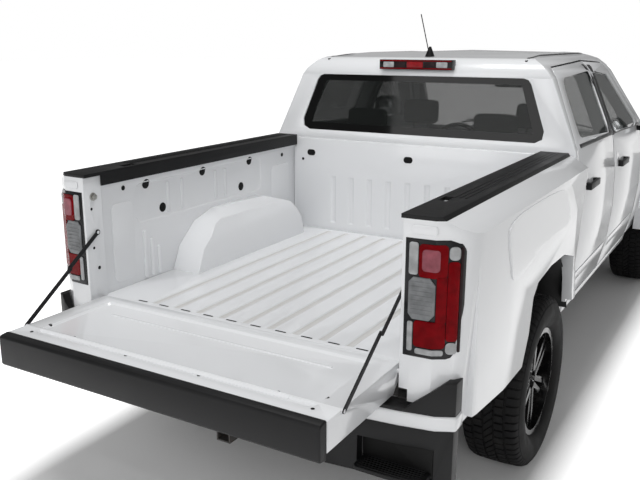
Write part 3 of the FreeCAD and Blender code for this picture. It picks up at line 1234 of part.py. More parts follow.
def gearbox_box():
    """The low and high corners of the gearbox."""
    back = mm.wheelbase - mm.engine_length / 2 - mm.gearbox_length
    low = mm.floor_height - mm.gearbox_depth - mm.hub_offset
    return ((-mm.gearbox_width / 2, back, low),
            (mm.gearbox_width / 2, back + mm.gearbox_length, low + mm.gearbox_depth))


def shaft_run():
    """The two ends of the prop shaft."""
    low, high = gearbox_box()
    return (0, mm.diff_length, mm.tyre_radius), (0, low[1], (low[2] + high[2]) / 2)


def tank_box():
    """The space of the fuel tank."""
    outer = -mm.rail_spacing / 2 + mm.rail_width / 2
    back = mm.cab_back * 1.2
    return block((outer, back, mm.floor_height - mm.tank_depth),
                 (outer + mm.tank_width, back + mm.tank_length, mm.floor_height))


def spring_line():
    """How far out the rear springs lie, against the outside of the frame rails."""
    return (mm.rail_spacing + mm.rail_width + mm.spring_width) / 2


def stub_end():
    """How far out the wheel stubs reach inside the wheels."""
    return wheel_x + mm.hub_offset + mm.hub_depth - mm.rim_wall - mm.running_gap


def wheel_stub(place_y, inner):
    """The stub that one right-hand wheel turns on."""
    length = stub_end() - inner
    return journal("x", (inner + length / 2, place_y, mm.tyre_radius), mm.stub_radius, length, bar_sides)


def make_rear_axle():
    """Live rear axle with its drums, and the leaf springs and dampers."""
    centre = (0, 0, mm.tyre_radius)
    hub_face = wheel_x + mm.hub_offset
    tube = bar("x", centre, mm.axle_tube, 2 * (hub_face - mm.hub_depth), bar_sides)
    half = mm.axle_tube * 1.1
    slim = mm.axle_tube * 1.5
    diff = turned(Vector(*centre), Vector(0, 1, 0), [(-half * 2, mm.diff_radius * 0.75), (-half, mm.diff_radius),
                                                     (half, mm.diff_radius), (half + mm.diff_length / 3, slim),
                                                     (mm.diff_length, slim)], bar_sides)
    parts = [tube, diff]
    drum = rod((hub_face - mm.hub_depth - mm.disc_width * 2, 0, mm.tyre_radius),
               (hub_face - mm.hub_depth / 2, 0, mm.tyre_radius), mm.disc_radius, drum_sides)
    stub = wheel_stub(0, hub_face - mm.hub_depth)
    for piece in (drum, stub):
        parts += [piece, flip(piece)]
    keep("rear_axle", fused(*parts))
    seat = mm.tyre_radius + mm.axle_tube
    leaf = mm.leaf_depth
    rise = mm.spring_eye * 2
    outline = [(-mm.spring_back, seat + rise), Via(0, seat), (mm.spring_front, seat + rise),
               (mm.spring_front, seat + rise + leaf / 2), Via(0, seat + leaf),
               (-mm.spring_back, seat + rise + leaf / 2)]
    x = spring_line()
    spring = prism(outline, "x", x - mm.spring_width / 2, x + mm.spring_width / 2)
    span = mm.track * 2
    spring = cut(spring, bore("x", centre, mm.axle_tube + mm.running_gap, span, bar_sides))
    eyes = [bar("x", (x, place, seat + rise + leaf / 4), mm.spring_eye, mm.spring_width)
            for place in (-mm.spring_back, mm.spring_front)]
    hanger = block((x - mm.rail_width, -mm.spring_back - mm.spring_eye / 2, seat + rise),
                   (x, -mm.spring_back + mm.spring_eye / 2, mm.rail_over_axle))
    damper = rod((x - mm.spring_width, mm.diff_radius, mm.tyre_radius - mm.axle_tube),
                 (x - mm.spring_width * 2.5, mm.diff_radius * 2.5, mm.rail_over_axle), mm.damper_radius)
    spring = cut(fused(spring, *eyes, hanger), frame_shape[0])
    bracket = rod((x - mm.spring_width * 2.5, mm.diff_radius * 2.5, mm.rail_over_axle),
                  (mm.rail_spacing / 2, mm.diff_radius * 2.5, mm.rail_over_axle), mm.damper_radius)
    damper = cut(fused(damper, bracket), frame_shape[0], bar("x", centre, mm.axle_tube, span))
    keep("rear_springs", Part.Compound([tidy(spring), tidy(flip(spring)), tidy(damper), tidy(flip(damper))]))


def make_driveline():
    """Engine and gearbox block, prop shaft, exhaust, fuel tank and spare wheel."""
    engine = bound_box("EngineBox", ("-Size.engine_width / 2", "Size.wheelbase - Size.engine_length / 2",
                                     "Size.engine_low"),
                       ("Size.engine_width / 2", "Size.wheelbase + Size.engine_length / 2",
                        "Size.engine_low + Size.engine_height"))
    gearbox = bound_box("GearboxBox", ("-Size.gearbox_width / 2",
                                       "Size.wheelbase - Size.engine_length / 2 - Size.gearbox_length",
                                       "Size.floor_height - Size.gearbox_depth - Size.hub_offset"),
                        ("Size.gearbox_width / 2", "Size.wheelbase - Size.engine_length / 2",
                         "Size.floor_height - Size.hub_offset"))
    keep_object(bound_fuse("EngineBlock", [engine, gearbox]), "engine_block")
    before_shaft = block((-mm.diff_radius, 0, 0), (mm.diff_radius, mm.diff_length, mm.rail_over_axle))
    keep("prop_shaft", cut(rod(*shaft_run(), mm.shaft_radius), block(*gearbox_box()), before_shaft))
    x = mm.gearbox_width / 2 + mm.muffler_radius * 1.4
    muffler_height = mm.rail_low + mm.pipe_radius * 2
    muffler = rod((x, mm.cab_back * 2, muffler_height),
                  (x, mm.cab_back * 2 + mm.muffler_length, muffler_height), mm.muffler_radius, bar_sides)
    front_pipe = rod((x, mm.cab_back * 2 + mm.muffler_length, muffler_height),
                     (x, mm.wheelbase - mm.arch_half_length, muffler_height), mm.pipe_radius)
    over = mm.tyre_radius + mm.diff_radius + mm.pipe_radius * 2
    rear_x = spring_line() - mm.muffler_radius * 2.6
    bend = rod((x, mm.cab_back * 2, muffler_height), (rear_x, mm.diff_length, over), mm.pipe_radius)
    tail = rod((rear_x, mm.diff_length + mm.pipe_radius / 2, over), (rear_x, -mm.spare_setback / 3, over),
               mm.pipe_radius)
    hangers = [rod((x, mm.cab_back * 2 + offset, muffler_height),
                   (x, mm.cab_back * 2 + offset, mm.floor_height), mm.hanger_radius)
               for offset in (mm.muffler_length / 2, mm.muffler_length * 2)]
    keep("exhaust", cut(fused(muffler, front_pipe, bend, tail, *hangers), frame_shape[0]))
    tank = doc.addObject("PartDesign::Body", "FuelTank")
    inner = "-(Size.rail_spacing / 2 - Size.rail_width / 2) + Size.tank_width"
    outer = "-(Size.rail_spacing / 2 - Size.rail_width / 2)"
    back = "Size.cab_back * 1.2"
    sketch = sketch_outline(tank, "TankOutline", "XY_Plane",
                            [(outer, back), (inner, back), (inner, back + " + Size.tank_length"),
                             (outer, back + " + Size.tank_length")])
    pad = tank.newObject("PartDesign::Pad", "TankPad")
    pad.Profile = sketch
    pad.setExpression("Length", "Size.tank_depth")
    sketch.setExpression("AttachmentOffset.Base.z", "Size.floor_height - Size.tank_depth")
    doc.recompute()
    keep_object(tank, "fuel_tank")
    keep_object(bound_spare_wheel(), "spare_wheel")


def bound_spare_wheel():
    """The spare wheel that hangs flat under the bed on its hoist."""
    back = "-Size.spare_setback"
    tyre = bound_drum("SpareTyre", ("0", back, "Size.spare_height - Size.spare_width / 2"), "Size.spare_radius",
                      "Size.spare_width")
    well = bound_drum("SpareWell", ("0", back, "Size.spare_height - Size.spare_width / 2 - Size.overrun"),
                      "Size.rim_radius - Size.rim_wall", "Size.spare_width / 2 + Size.overrun")
    hoist = bound_drum("SpareHoist", ("0", back, "Size.spare_height"), "Size.stub_radius",
                       "Size.rail_over_axle + Size.rail_depth - Size.spare_height")
    return bound_fuse("SpareWheel", [bound_cut("SpareRing", tyre, well), hoist])


def make_wheels():
    """Four tyres and four six-spoke wheels."""
    tyre = make_tyre()
    rim = make_rim()
    for place_y, end in ((0, "rear"), (front_axle, "front")):
        for sign, side in ((1, "right"), (-1, "left")):
            move = Vector(sign * wheel_x, place_y, mm.tyre_radius)
            keep(f"tyre_{end}_{side}", tyre.translated(move))
            piece = rim if sign > 0 else flip(rim)
            keep(f"wheel_{end}_{side}", piece.translated(move))


def make_tyre():
    """A tyre about the origin: bulging sidewalls between bead and flat tread, taken round its axle."""
    half = mm.tyre_width / 2
    bead = (mm.rim_width - mm.rim_wall) / 2
    bulge = (mm.rim_radius + mm.tyre_radius) / 2
    tread = half - mm.tyre_shoulder * 0.7
    right_half = [(bead, mm.rim_radius), (half, bulge), (tread, mm.tyre_radius)]
    section = [(-place, radius) for place, radius in right_half] + right_half[::-1]
    return turned(Vector(0, 0, 0), Vector(1, 0, 0), section, wheel_sides, bored=True)


def make_rim():
    """A right-hand wheel about the origin: barrel, hub and six twin spokes."""
    half = mm.rim_width / 2
    wall = mm.rim_wall
    radius = mm.rim_radius
    section = [(-half, radius + mm.rim_lip), (-half, radius - wall), (half, radius - wall),
               (half, radius + mm.rim_lip), (half - wall / 2, radius), (-half + wall / 2, radius)]
    barrel = turned(Vector(0, 0, 0), Vector(1, 0, 0), section, wheel_sides, bored=True)
    front = mm.hub_offset + mm.hub_depth
    hub = rod((mm.hub_offset, 0, 0), (front, 0, 0), mm.hub_radius, bar_sides)
    socket_length = front - mm.rim_wall + half
    socket = bore("x", (-half + socket_length / 2, 0, 0), mm.stub_radius + mm.running_gap, socket_length,
                  bar_sides)
    pieces = [barrel, hub]
    spoke_count = 6
    rim_line = radius * math.cos(math.pi / wheel_sides) - wall / 2
    for index in range(spoke_count):
        for side in (-1, 1):
            lean = side * mm.spoke_spread / 2
            points = [(mm.hub_radius / 2, lean / 2 - mm.spoke_width / 2), (rim_line, lean - mm.spoke_width / 2),
                      (rim_line, lean + mm.spoke_width / 2), (mm.hub_radius / 2, lean / 2 + mm.spoke_width / 2)]
            spoke = face([(v, u) for u, v in points], "x", front - mm.spoke_depth + mm.spoke_rise)
            spoke = spoke.extrude(Vector(mm.spoke_depth, 0, 0))
            spoke.rotate(Vector(0, 0, 0), Vector(1, 0, 0), 360 * index / spoke_count)
            pieces.append(spoke)
    return cut(fused(*pieces), socket)


def make_front_end():
    """Fixed front suspension arms, knuckles with hubs and discs, and the steering rack."""
    kingpin = wheel_x - mm.kingpin_inset
    centre = Vector(kingpin, front_axle, mm.tyre_radius)
    hub_face = wheel_x + mm.hub_offset
    upright = block((kingpin - mm.upright_width / 2, front_axle - mm.upright_depth / 2,
                     mm.tyre_radius - mm.knuckle_drop + mm.lug_thickness),
                    (kingpin + mm.upright_width / 4, front_axle + mm.upright_depth / 2,
                     mm.tyre_radius + mm.knuckle_rise - mm.lug_thickness))
    lugs = [journal("z", (kingpin, front_axle, low + mm.lug_thickness / 2), mm.pin_radius * 2, mm.lug_thickness)
            for low in (mm.tyre_radius - mm.knuckle_drop, mm.tyre_radius + mm.knuckle_rise - mm.lug_thickness)]
    disc_x = kingpin + mm.upright_width * 2 / 3
    disc = rod((disc_x, front_axle, mm.tyre_radius), (disc_x + mm.disc_width, front_axle, mm.tyre_radius),
               mm.disc_radius, drum_sides)
    stub = wheel_stub(front_axle, kingpin)
    hub = rod((kingpin, front_axle, mm.tyre_radius),
              (hub_face - mm.hub_depth / 2, front_axle, mm.tyre_radius), mm.hub_radius, bar_sides)
    arm_height = mm.tyre_radius - mm.hub_radius
    arm = block((kingpin - mm.arm_tip / 2, front_axle - mm.arm_reach - mm.arm_thickness, arm_height),
                (kingpin - mm.arm_tip / 2 + mm.arm_tip, front_axle, arm_height + mm.arm_thickness))
    knuckle = fused(upright, *lugs, disc, stub, hub, arm)
    keep("knuckle_right", knuckle)
    keep("knuckle_left", flip(knuckle))
    rod_height = arm_height - mm.tie_rod - mm.rack_radius / 2
    rack_y = front_axle - mm.arm_reach
    rod_x = mm.rack_length / 2
    tie = rod((rod_x, rack_y, rod_height), (kingpin, rack_y, rod_height), mm.tie_rod)
    end = rod((kingpin, rack_y, rod_height - mm.tie_rod), (kingpin, rack_y, rod_height + mm.tie_rod),
              mm.tie_rod * 1.6)
    rack = bar("x", (0, rack_y, rod_height), mm.tie_rod, mm.rack_length, bar_sides)
    keep("steering_rack", fused(rack, tie, end, flip(tie), flip(end)))
    make_front_arms(kingpin, rack_y, rod_height)


def make_front_arms(kingpin, rack_y, rod_height):
    """Upper and lower control arms on the frame, the cross member and the rack housing."""
    root = mm.nose_rail_spacing / 2 + mm.rail_width / 2
    shapes = []
    low = mm.tyre_radius - mm.knuckle_drop - mm.control_arm - mm.pivot_gap
    high = mm.tyre_radius + mm.knuckle_rise + mm.pivot_gap
    plan = [(root, front_axle - mm.arm_root / 2), (kingpin, front_axle - mm.arm_tip / 2),
            (kingpin, front_axle + mm.arm_tip / 2), (root, front_axle + mm.arm_root / 2)]
    for height in (low, high):
        plate = prism(plan, "z", height, height + mm.control_arm)
        boss = rod((kingpin, front_axle, height), (kingpin, front_axle, height + mm.control_arm), mm.arm_tip / 2)
        shapes.append(fused(plate, boss))
    member_back = rack_y + mm.rack_radius * 0.8
    member = block((-root, member_back, low), (root, front_axle + mm.arm_root / 2, mm.rail_nose))
    engine_clear = block((-mm.engine_width / 2 - mm.wall_sheet, 0, mm.engine_low - mm.wall_sheet),
                         (mm.engine_width / 2 + mm.wall_sheet, mm.wheelbase * 2, mm.roof_height))
    member = cut(member, engine_clear)
    fixed = fused(member, *shapes, *[flip(shape) for shape in shapes])
    housing = bar("x", (0, rack_y, rod_height), mm.rack_radius, mm.rack_length - mm.arm_reach * 2)
    rod_bore = bore("x", (0, rack_y, rod_height), mm.tie_rod + mm.running_gap, mm.rack_length * 2, bar_sides)
    housing = cut(housing, rod_bore)
    fixed = cut(fixed, bar("x", (0, rack_y, rod_height), mm.rack_radius, mm.rack_length), frame_shape[0])
    keep("front_suspension", Part.Compound([tidy(fixed), housing]))


def seat_shape(width, back, x):
    """A seat: cushion, leaning squab and headrest in one padded piece."""
    low = mm.seat_base
    cushion_top = low + mm.cushion_depth
    front = back + mm.cushion_length
    cushion = prism([(back, low, mm.seat_round), (front, low, mm.seat_round), (front, cushion_top, mm.seat_round),
                     (back, cushion_top, mm.seat_round)], "x", x - width / 2, x + width / 2)
    lean = mm.squab_lean
    squab = prism([(back - mm.squab_depth / 4, low, mm.seat_round), (back + mm.squab_depth, low + mm.seat_round),
                   (back + mm.squab_depth - lean, low + mm.squab_height, mm.seat_round),
                   (back - lean - mm.squab_depth / 8, low + mm.squab_height, mm.seat_round)],
                  "x", x - width / 2, x + width / 2)
    return fused(cushion, squab)


def make_inside():
    """Seats, dashboard and steering wheel."""
    spots = mm.seat_spacing / 2
    front = [seat_shape(mm.seat_width, mm.seat_back_front, x) for x in (-spots, spots)]
    rests = []
    for back, places in ((mm.seat_back_front, (-spots, spots)), (mm.seat_back_rear, (-spots, spots))):
        rest_low = mm.seat_base + mm.squab_height - mm.running_gap
        rest_back = back - mm.squab_lean
        row = [prism([(rest_back, rest_low), (rest_back + mm.headrest_depth, rest_low),
                      (rest_back + mm.headrest_depth, rest_low + mm.headrest_height, mm.seat_round),
                      (rest_back, rest_low + mm.headrest_height, mm.seat_round)], "x",
                     x - mm.headrest_width / 2, x + mm.headrest_width / 2) for x in places]
        rests.append(row)
    plinth_low = mm.floor_height + mm.floor_thickness
    plinths = [block((x - mm.seat_width / 3, mm.seat_back_front + mm.squab_depth, plinth_low),
                     (x + mm.seat_width / 3, mm.seat_back_front + mm.cushion_length - mm.squab_depth,
                      mm.seat_base + mm.seat_round)) for x in (-spots, spots)]
    seats = [fused(seat, rest, plinth) for seat, rest, plinth in zip(front, rests[0], plinths)]
    bench = seat_shape(mm.bench_width, mm.seat_back_rear, 0)
    bench_plinth = block((-mm.bench_width / 3, mm.seat_back_rear, plinth_low),
                         (mm.bench_width / 3, mm.seat_back_rear + mm.cushion_length / 2,
                          mm.seat_base + mm.seat_round))
    keep("seats", Part.Compound(seats + [fused(bench, bench_plinth, *rests[1])]))
    inner_front = mm.firewall - mm.firewall_thickness
    dash = prism([(mm.dash_back, mm.dash_low, mm.seat_round), (inner_front, mm.dash_low),
                  (inner_front, mm.dash_high - mm.seat_round), (mm.dash_back, mm.dash_high, mm.seat_round)],
                 "x", -mm.dash_half_width, mm.dash_half_width)
    centre = Vector(-mm.steer_offset, mm.steer_back, mm.steer_height)
    lean = math.radians(mm.steer_lean)
    ahead = Vector(0, math.cos(lean), -math.sin(lean))
    boss_end = mm.steer_tube * 1.5
    column = Part.makeCylinder(mm.column_radius, mm.dash_back - mm.steer_back + mm.column_radius * 2,
                               centre + ahead * (boss_end + mm.running_gap), ahead)
    keep("dashboard", fused(dash.common(cab_form(mm.roof_thickness, mm.wall)), column))
    keep("steering_wheel", steering_wheel_shape(centre))


def steering_wheel_shape(centre):
    """The steering wheel, turned face on to the driver."""
    tube = mm.steer_tube
    grip_shares = [(1, 0), (0.5, 0.87), (-0.5, 0.87), (-1, 0), (-0.5, -0.87), (0.5, -0.87)]
    section = [(v * tube, mm.steer_radius + u * tube) for u, v in grip_shares]
    grip = turned(Vector(0, 0, 0), Vector(0, 0, 1), section, drum_sides, bored=True)
    hub = rod((0, 0, -tube * 1.5), (0, 0, tube / 2), mm.steer_hub)
    half = tube * 0.7
    across = block((-mm.steer_radius, -half * 2, -half), (mm.steer_radius, half * 2, half))
    down = block((-half * 2, -mm.steer_radius, -half), (half * 2, 0, half))
    wheel = fused(grip, hub, across, down)
    wheel.rotate(Vector(0, 0, 0), Vector(1, 0, 0), 90 - mm.steer_lean)
    wheel.translate(centre)
    return wheel


def make_antenna():
    """The roof aerial, leaning back."""
    roof = mm.roof_edge_height * 0.99
    lean = math.radians(mm.antenna_lean)
    start = Vector(0, mm.antenna_back, roof)
    along = Vector(0, -math.sin(lean), math.cos(lean))
    base = turned(start, Vector(0, 0, 1), [(0, mm.antenna_base), (mm.antenna_base * 2, mm.antenna_radius * 2)],
                  bar_sides)
    mast = rod(start, start + along * mm.antenna_length, mm.antenna_radius, bar_sides // 2)
    keep("antenna", cut(fused(base, mast), cab_form(-mm.running_gap)))


def make_lamps():
    """Headlamps, tail lamps and the high brake lamp as one set."""
    keep("lamps", Part.Compound(lamps))


def check_and_write():
    """Stop on any failed object or faulty shape, then write one file for each sub-part."""
    doc.recompute()
    for item in doc.Objects:
        if "Invalid" in item.State or "Error" in item.State:
            raise ValueError(f"{item.Label} failed: {item.State}")
    os.makedirs("parts", exist_ok=True)
    for node in nodes:
        if node.Shape.isNull() or not node.Shape.isValid() or not node.Shape.Solids:
            raise ValueError(f"{node.Label} has no sound shape")
        node.Shape.exportStep(f"parts/{node.Label}.step")
    print(len(nodes), "sub-parts")


make_frame()
make_rear_axle()
make_driveline()
make_front_end()
make_wheels()
make_cab()
make_nose()
make_bed()
make_tailgate()
make_rear_bumper()
make_inside()
make_antenna()
make_lamps()
check_and_write()
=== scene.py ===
import json
import math

import bmesh
import bpy
from bpy.props import FloatProperty, FloatVectorProperty, IntProperty, PointerProperty
from mathutils import Matrix, Vector
from mathutils.bvhtree import BVHTree

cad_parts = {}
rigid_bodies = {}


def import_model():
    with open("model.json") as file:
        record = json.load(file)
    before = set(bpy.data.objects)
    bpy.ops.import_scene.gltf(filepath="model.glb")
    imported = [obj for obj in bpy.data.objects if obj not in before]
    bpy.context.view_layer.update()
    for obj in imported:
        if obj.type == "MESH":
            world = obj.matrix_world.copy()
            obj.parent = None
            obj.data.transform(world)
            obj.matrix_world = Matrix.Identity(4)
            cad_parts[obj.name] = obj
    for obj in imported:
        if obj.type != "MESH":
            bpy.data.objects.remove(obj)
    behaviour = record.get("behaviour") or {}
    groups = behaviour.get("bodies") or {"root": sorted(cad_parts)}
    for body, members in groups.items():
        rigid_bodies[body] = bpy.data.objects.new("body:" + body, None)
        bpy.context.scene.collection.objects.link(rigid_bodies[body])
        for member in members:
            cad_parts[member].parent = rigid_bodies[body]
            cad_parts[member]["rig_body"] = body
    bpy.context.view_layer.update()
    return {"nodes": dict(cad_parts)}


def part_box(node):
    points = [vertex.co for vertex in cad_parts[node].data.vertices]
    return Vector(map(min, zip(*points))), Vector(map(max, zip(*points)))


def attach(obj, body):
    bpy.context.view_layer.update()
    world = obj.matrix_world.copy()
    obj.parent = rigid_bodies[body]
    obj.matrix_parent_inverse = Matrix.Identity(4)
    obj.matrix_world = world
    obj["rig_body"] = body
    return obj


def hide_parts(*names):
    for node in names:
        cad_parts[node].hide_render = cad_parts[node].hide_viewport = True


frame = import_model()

bl_info = {
    "name": "Pickup Truck Looks",
    "version": (1, 0, 0),
    "blender": (4, 5, 0),
    "location": "View3D > Sidebar > Pickup",
    "description": "Dresses the packed pickup frame with its paint, trim, lamps, tyres and cabin",
    "category": "Object",
}

NODES = frame["nodes"]
SIDES = (("right", 1), ("left", -1))
SIGNS = (-1, 1)
REAR_AXLE = sum(corner.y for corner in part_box("tyre_rear_right")) / 2
WHEELBASE = 3.259
HUB_HEIGHT = 0.385
FLOOR_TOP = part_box("bed_floor")[1].z
GROOVE_DEPTH = 0.0035
REST_ROWS = (1.600, 0.810)  # headrests, ahead of the rear axle
DOOR_NODES = "{0}_front_left {0}_front_right {0}_rear_left {0}_rear_right"


def at(x, y, z):
    """A point given from the ground under the rear axle, in the row frame."""
    return Vector((x, y + REAR_AXLE, z))


# Sizes and colours a user would change

def color_property(name, description, default):
    """A colour that a user can change."""
    return FloatVectorProperty(name=name, description=description, subtype="COLOR", size=3, min=0, max=1,
                               default=default)


class PaintSizes(bpy.types.PropertyGroup):
    """Body paint and plastic."""
    body: color_property("Body paint", "Colour of the painted panels", (0.79, 0.80, 0.815))
    trim: color_property("Trim plastic", "Colour of the unpainted plastic", (0.006, 0.006, 0.0065))
    edge: FloatProperty(name="Panel edge radius", description="Rounding of pressed panel edges",
                        unit="LENGTH", min=0.0005, max=0.01, default=0.003)


class TyreSizes(bpy.types.PropertyGroup):
    """Tyre tread."""
    pitches: IntProperty(name="Tread pitches", description="Blocks round each tyre", min=24, max=96,
                         default=64)
    depth: FloatProperty(name="Tread depth", description="Depth of the tread grooves", unit="LENGTH",
                         min=0.003, max=0.014, default=0.009)


class StageSizes(bpy.types.PropertyGroup):
    """Camera, lamps and floor."""
    lens: FloatProperty(name="Lens", description="Focal length on a 36 mm sensor, in millimetres",
                        min=20, max=120, default=43.67)
    floor: color_property("Floor", "Colour of the studio floor", (0.86, 0.86, 0.86))
    key: FloatProperty(name="Key lamp", description="Power of the overhead soft box", unit="POWER", min=0,
                       max=5000, default=124)


# Materials

def rgba(color):
    """A colour with its alpha added, or a socket as it is."""
    return (*color, 1) if isinstance(color, tuple) else color


def shaded(color, factor, added=0.0):
    """A darker or paler colour."""
    return tuple(part * factor + added for part in color)


class Field:
    """A number socket that Python's operators combine into Math nodes."""

    def __init__(self, owner, socket):
        self.owner = owner
        self.socket = socket

    def math(self, operation, *others):
        node = self.owner.node("ShaderNodeMath", {"operation": operation}, dict(enumerate((self,) + others)))
        return Field(self.owner, node.outputs[0])

    def __add__(self, other):
        return self.math("ADD", other)

    def __mul__(self, other):
        return self.math("MULTIPLY", other)

    def __sub__(self, other):
        return self.math("SUBTRACT", other)

    def __truediv__(self, other):
        return self.math("DIVIDE", other)

    def __pow__(self, other):
        return self.math("POWER", other)

    def __rsub__(self, other):
        return (self * -1) + other

    __radd__ = __add__
    __rmul__ = __mul__

    def clamped(self):
        return self.math("MAXIMUM", 0).math("MINIMUM", 1)

    def step(self, edge, soft):
        """0 below the edge and 1 above it, over a soft band."""
        return ((self - (edge - soft / 2)) / soft).clamped()


class Nodes:
    """The node tree of a material or a world, and the calls that add to it."""

    def __init__(self, owner, shader):
        owner.use_nodes = True
        self.tree = owner.node_tree
        self.shader = self.tree.nodes[shader]

    def feed(self, socket, value):
        """Link a field or a socket to a socket, or set its value."""
        if isinstance(value, Field):
            value = value.socket
        if isinstance(value, bpy.types.NodeSocket):
            self.tree.links.new(value, socket)
        else:
            socket.default_value = value

    def node(self, kind, settings, inputs):
        """Add a node: its settings first, then the values or links of its sockets."""
        node = self.tree.nodes.new(kind)
        for key, value in settings.items():
            setattr(node, key, value)
        for key, value in inputs.items():
            self.feed(node.inputs[key], value)
        return node

    def set(self, name, value):
        self.feed(self.shader.inputs[name], value)

    def rays(self):
        """The sockets that tell a ray's kind."""
        return self.node("ShaderNodeLightPath", {}, {}).outputs


class Finish(Nodes):
    """One material and the calls that shape its look."""

    def __init__(self, name, **fixed):
        self.material = bpy.data.materials.new(name)
        super().__init__(self.material, "Principled BSDF")
        for key, value in fixed.items():
            self.set(key.replace("_", " ").title().replace("Ior", "IOR"), value)

    def place(self):
        return self.node("ShaderNodeTexCoord", {}, {}).outputs["Object"]

    def axis(self, name):
        """One of the object coordinates, as a number."""
        return Field(self, self.node("ShaderNodeSeparateXYZ", {}, {"Vector": self.place()}).outputs[name])

    def texture(self, kind, settings, inputs, output):
        """A texture on the object coordinates, as a number."""
        node = self.node(f"ShaderNodeTex{kind}", settings, {"Vector": self.place(), **inputs})
        return Field(self, node.outputs[output])

    def noise(self, scale, detail=2):
        return self.texture("Noise", {}, {"Scale": scale, "Detail": detail}, "Fac")

    def cells(self, scale):
        return self.texture("Voronoi", {}, {"Scale": scale}, "Distance")

    def waves(self, scale, direction):
        return self.texture("Wave", {"bands_direction": direction}, {"Scale": scale}, "Fac")

    def mix(self, share, first, second):
        """A colour between two colours."""
        return self.node("ShaderNodeMix", {"data_type": "RGBA"},
                         {0: share, 6: rgba(first), 7: rgba(second)}).outputs[2]

    def bump(self, height, strength, distance):
        node = self.node("ShaderNodeBump", {}, {"Strength": strength, "Distance": distance, "Height": height})
        self.set("Normal", node.outputs["Normal"])
        return self


def painted(name, color, groove_shade_below=None):
    """Clear-coated body paint: faint orange peel, road film low down, and painted shade darkening the grooves
    below a height.
    """
    gloss, dust = 0.2, 0.10
    finish = Finish(name, roughness=gloss, coat_weight=0.4, coat_roughness=0.06, specular_ior_level=0.4)
    film = 1 - finish.axis("Z").step(0.62, 0.5)
    dust_and_groove_shade = finish.noise(2.5, 3) * film * dust
    # Painted shade: below the given height the grooves are darkened towards grey-brown
    if groove_shade_below:
        dust_and_groove_shade = dust_and_groove_shade + (1 - finish.axis("Z").step(groove_shade_below, 0.003)) * (finish.noise(9, 3) * 0.3 + 0.45)
    # Mixed towards grey-brown: road-film dust, and painted shade in the floor's grooves
    finish.set("Base Color", finish.mix(dust_and_groove_shade, color, (0.52, 0.50, 0.47)))
    finish.set("Roughness", dust_and_groove_shade * 0.6 + finish.noise(30) * 0.03 + gloss)
    return finish.bump(finish.noise(180, 1), 0.015, 0.0003)


def moulded(name, color, grain=900, roughness=0.5):
    """Grained plastic with slightly worn high spots."""
    finish = Finish(name, roughness=roughness, specular_ior_level=0.22)
    wear = finish.noise(9, 4)
    finish.set("Base Color", finish.mix(wear.step(0.6, 0.3) * 0.5, color, shaded(color, 1.5, 0.002)))
    finish.set("Roughness", wear * 0.16 + (roughness - 0.08))
    return finish.bump(finish.cells(grain) * 0.7 + finish.noise(grain / 2) * 0.5, 0.35, 0.0004)


def rubber(name, color):
    """Tyre rubber: matt, with a trace of dust in its pores."""
    finish = Finish(name, roughness=0.8, specular_ior_level=0.12)
    dust = finish.noise(14, 5).step(0.55, 0.35)
    finish.set("Base Color", finish.mix(dust, color, (0.018, 0.0175, 0.017)))
    finish.set("Roughness", dust * 0.2 + 0.66)
    return finish.bump(finish.noise(900, 3), 0.25, 0.0004)


def gloss_black(name, color):
    """Black painted alloy with brake dust gathered in patches."""
    finish = Finish(name, roughness=0.25, coat_weight=0.12, coat_roughness=0.1, specular_ior_level=0.2)
    dust = finish.noise(18, 4).step(0.62, 0.3)
    finish.set("Base Color", finish.mix(dust * 0.5, color, (0.02, 0.018, 0.016)))
    finish.set("Roughness", dust * 0.25 + 0.16)
    return finish.bump(finish.noise(300), 0.04, 0.0003)


def metal(name, color, roughness, grain):
    """Bare or plated metal with fine marks and slight staining."""
    finish = Finish(name, metallic=1.0, roughness=roughness)
    marks = finish.noise(grain, 4)
    finish.set("Base Color", finish.mix(marks.step(0.55, 0.5), color, shaded(color, 0.62)))
    finish.set("Roughness", marks * 0.25 + (roughness - 0.1))
    return finish.bump(marks, 0.12, 0.0005)


def chassis_paint(name, color, roughness=0.55):
    """Dipped chassis paint with grime and a few rusty specks."""
    finish = Finish(name, roughness=roughness, specular_ior_level=0.4)
    grime = finish.noise(11, 5)
    rust = finish.cells(70).step(0.12, 0.06)
    base = finish.mix(grime.step(0.55, 0.3) * 0.7, color, (0.075, 0.068, 0.06))
    finish.set("Base Color", finish.mix((1 - rust) * grime.step(0.58, 0.1), base, (0.12, 0.045, 0.02)))
    finish.set("Roughness", grime * 0.3 + (roughness - 0.12))
    return finish.bump(finish.noise(180, 4), 0.2, 0.0006)


def window(name, tint, alpha):
    """Tinted glass with a faint film of dust."""
    finish = Finish(name, roughness=0.03, specular_ior_level=0.6, coat_weight=0.3, coat_roughness=0.02)
    film = finish.noise(7, 4)
    finish.set("Base Color", finish.mix(film * 0.3, tint, (0.16, 0.17, 0.16)))
    finish.set("Roughness", film * 0.05 + 0.01)
    finish.set("Alpha", film * 0.05 + alpha)
    return finish


def bordered(name, tint):
    """Glass with a black fired border round the rear window, and a clearer windscreen."""
    foot, head, half_width, blur = 1.402, 1.640, 0.652, 0.004
    lean, lean_from = 0.34, 1.362
    finish = Finish(name, roughness=0.03, specular_ior_level=0.25)
    film = finish.noise(7, 4)
    height, half = finish.axis("Z"), finish.axis("X").math("ABSOLUTE")
    clear = (height.step(foot, blur) * (1 - height.step(head, blur))
             * (1 - (half + (height - lean_from) * lean).step(half_width, blur)))
    rear = 1 - finish.axis("Y").step(0, 0.1)
    border = (1 - clear) * rear
    finish.set("Base Color", finish.mix(border, finish.mix(rear, (0.10, 0.13, 0.12), tint),
                                        (0.002, 0.002, 0.002)))
    finish.set("Roughness", film * 0.05 + 0.02)
    finish.set("Alpha", (border + rear * 0.34 + 0.22 + film * 0.03).clamped())
    return finish


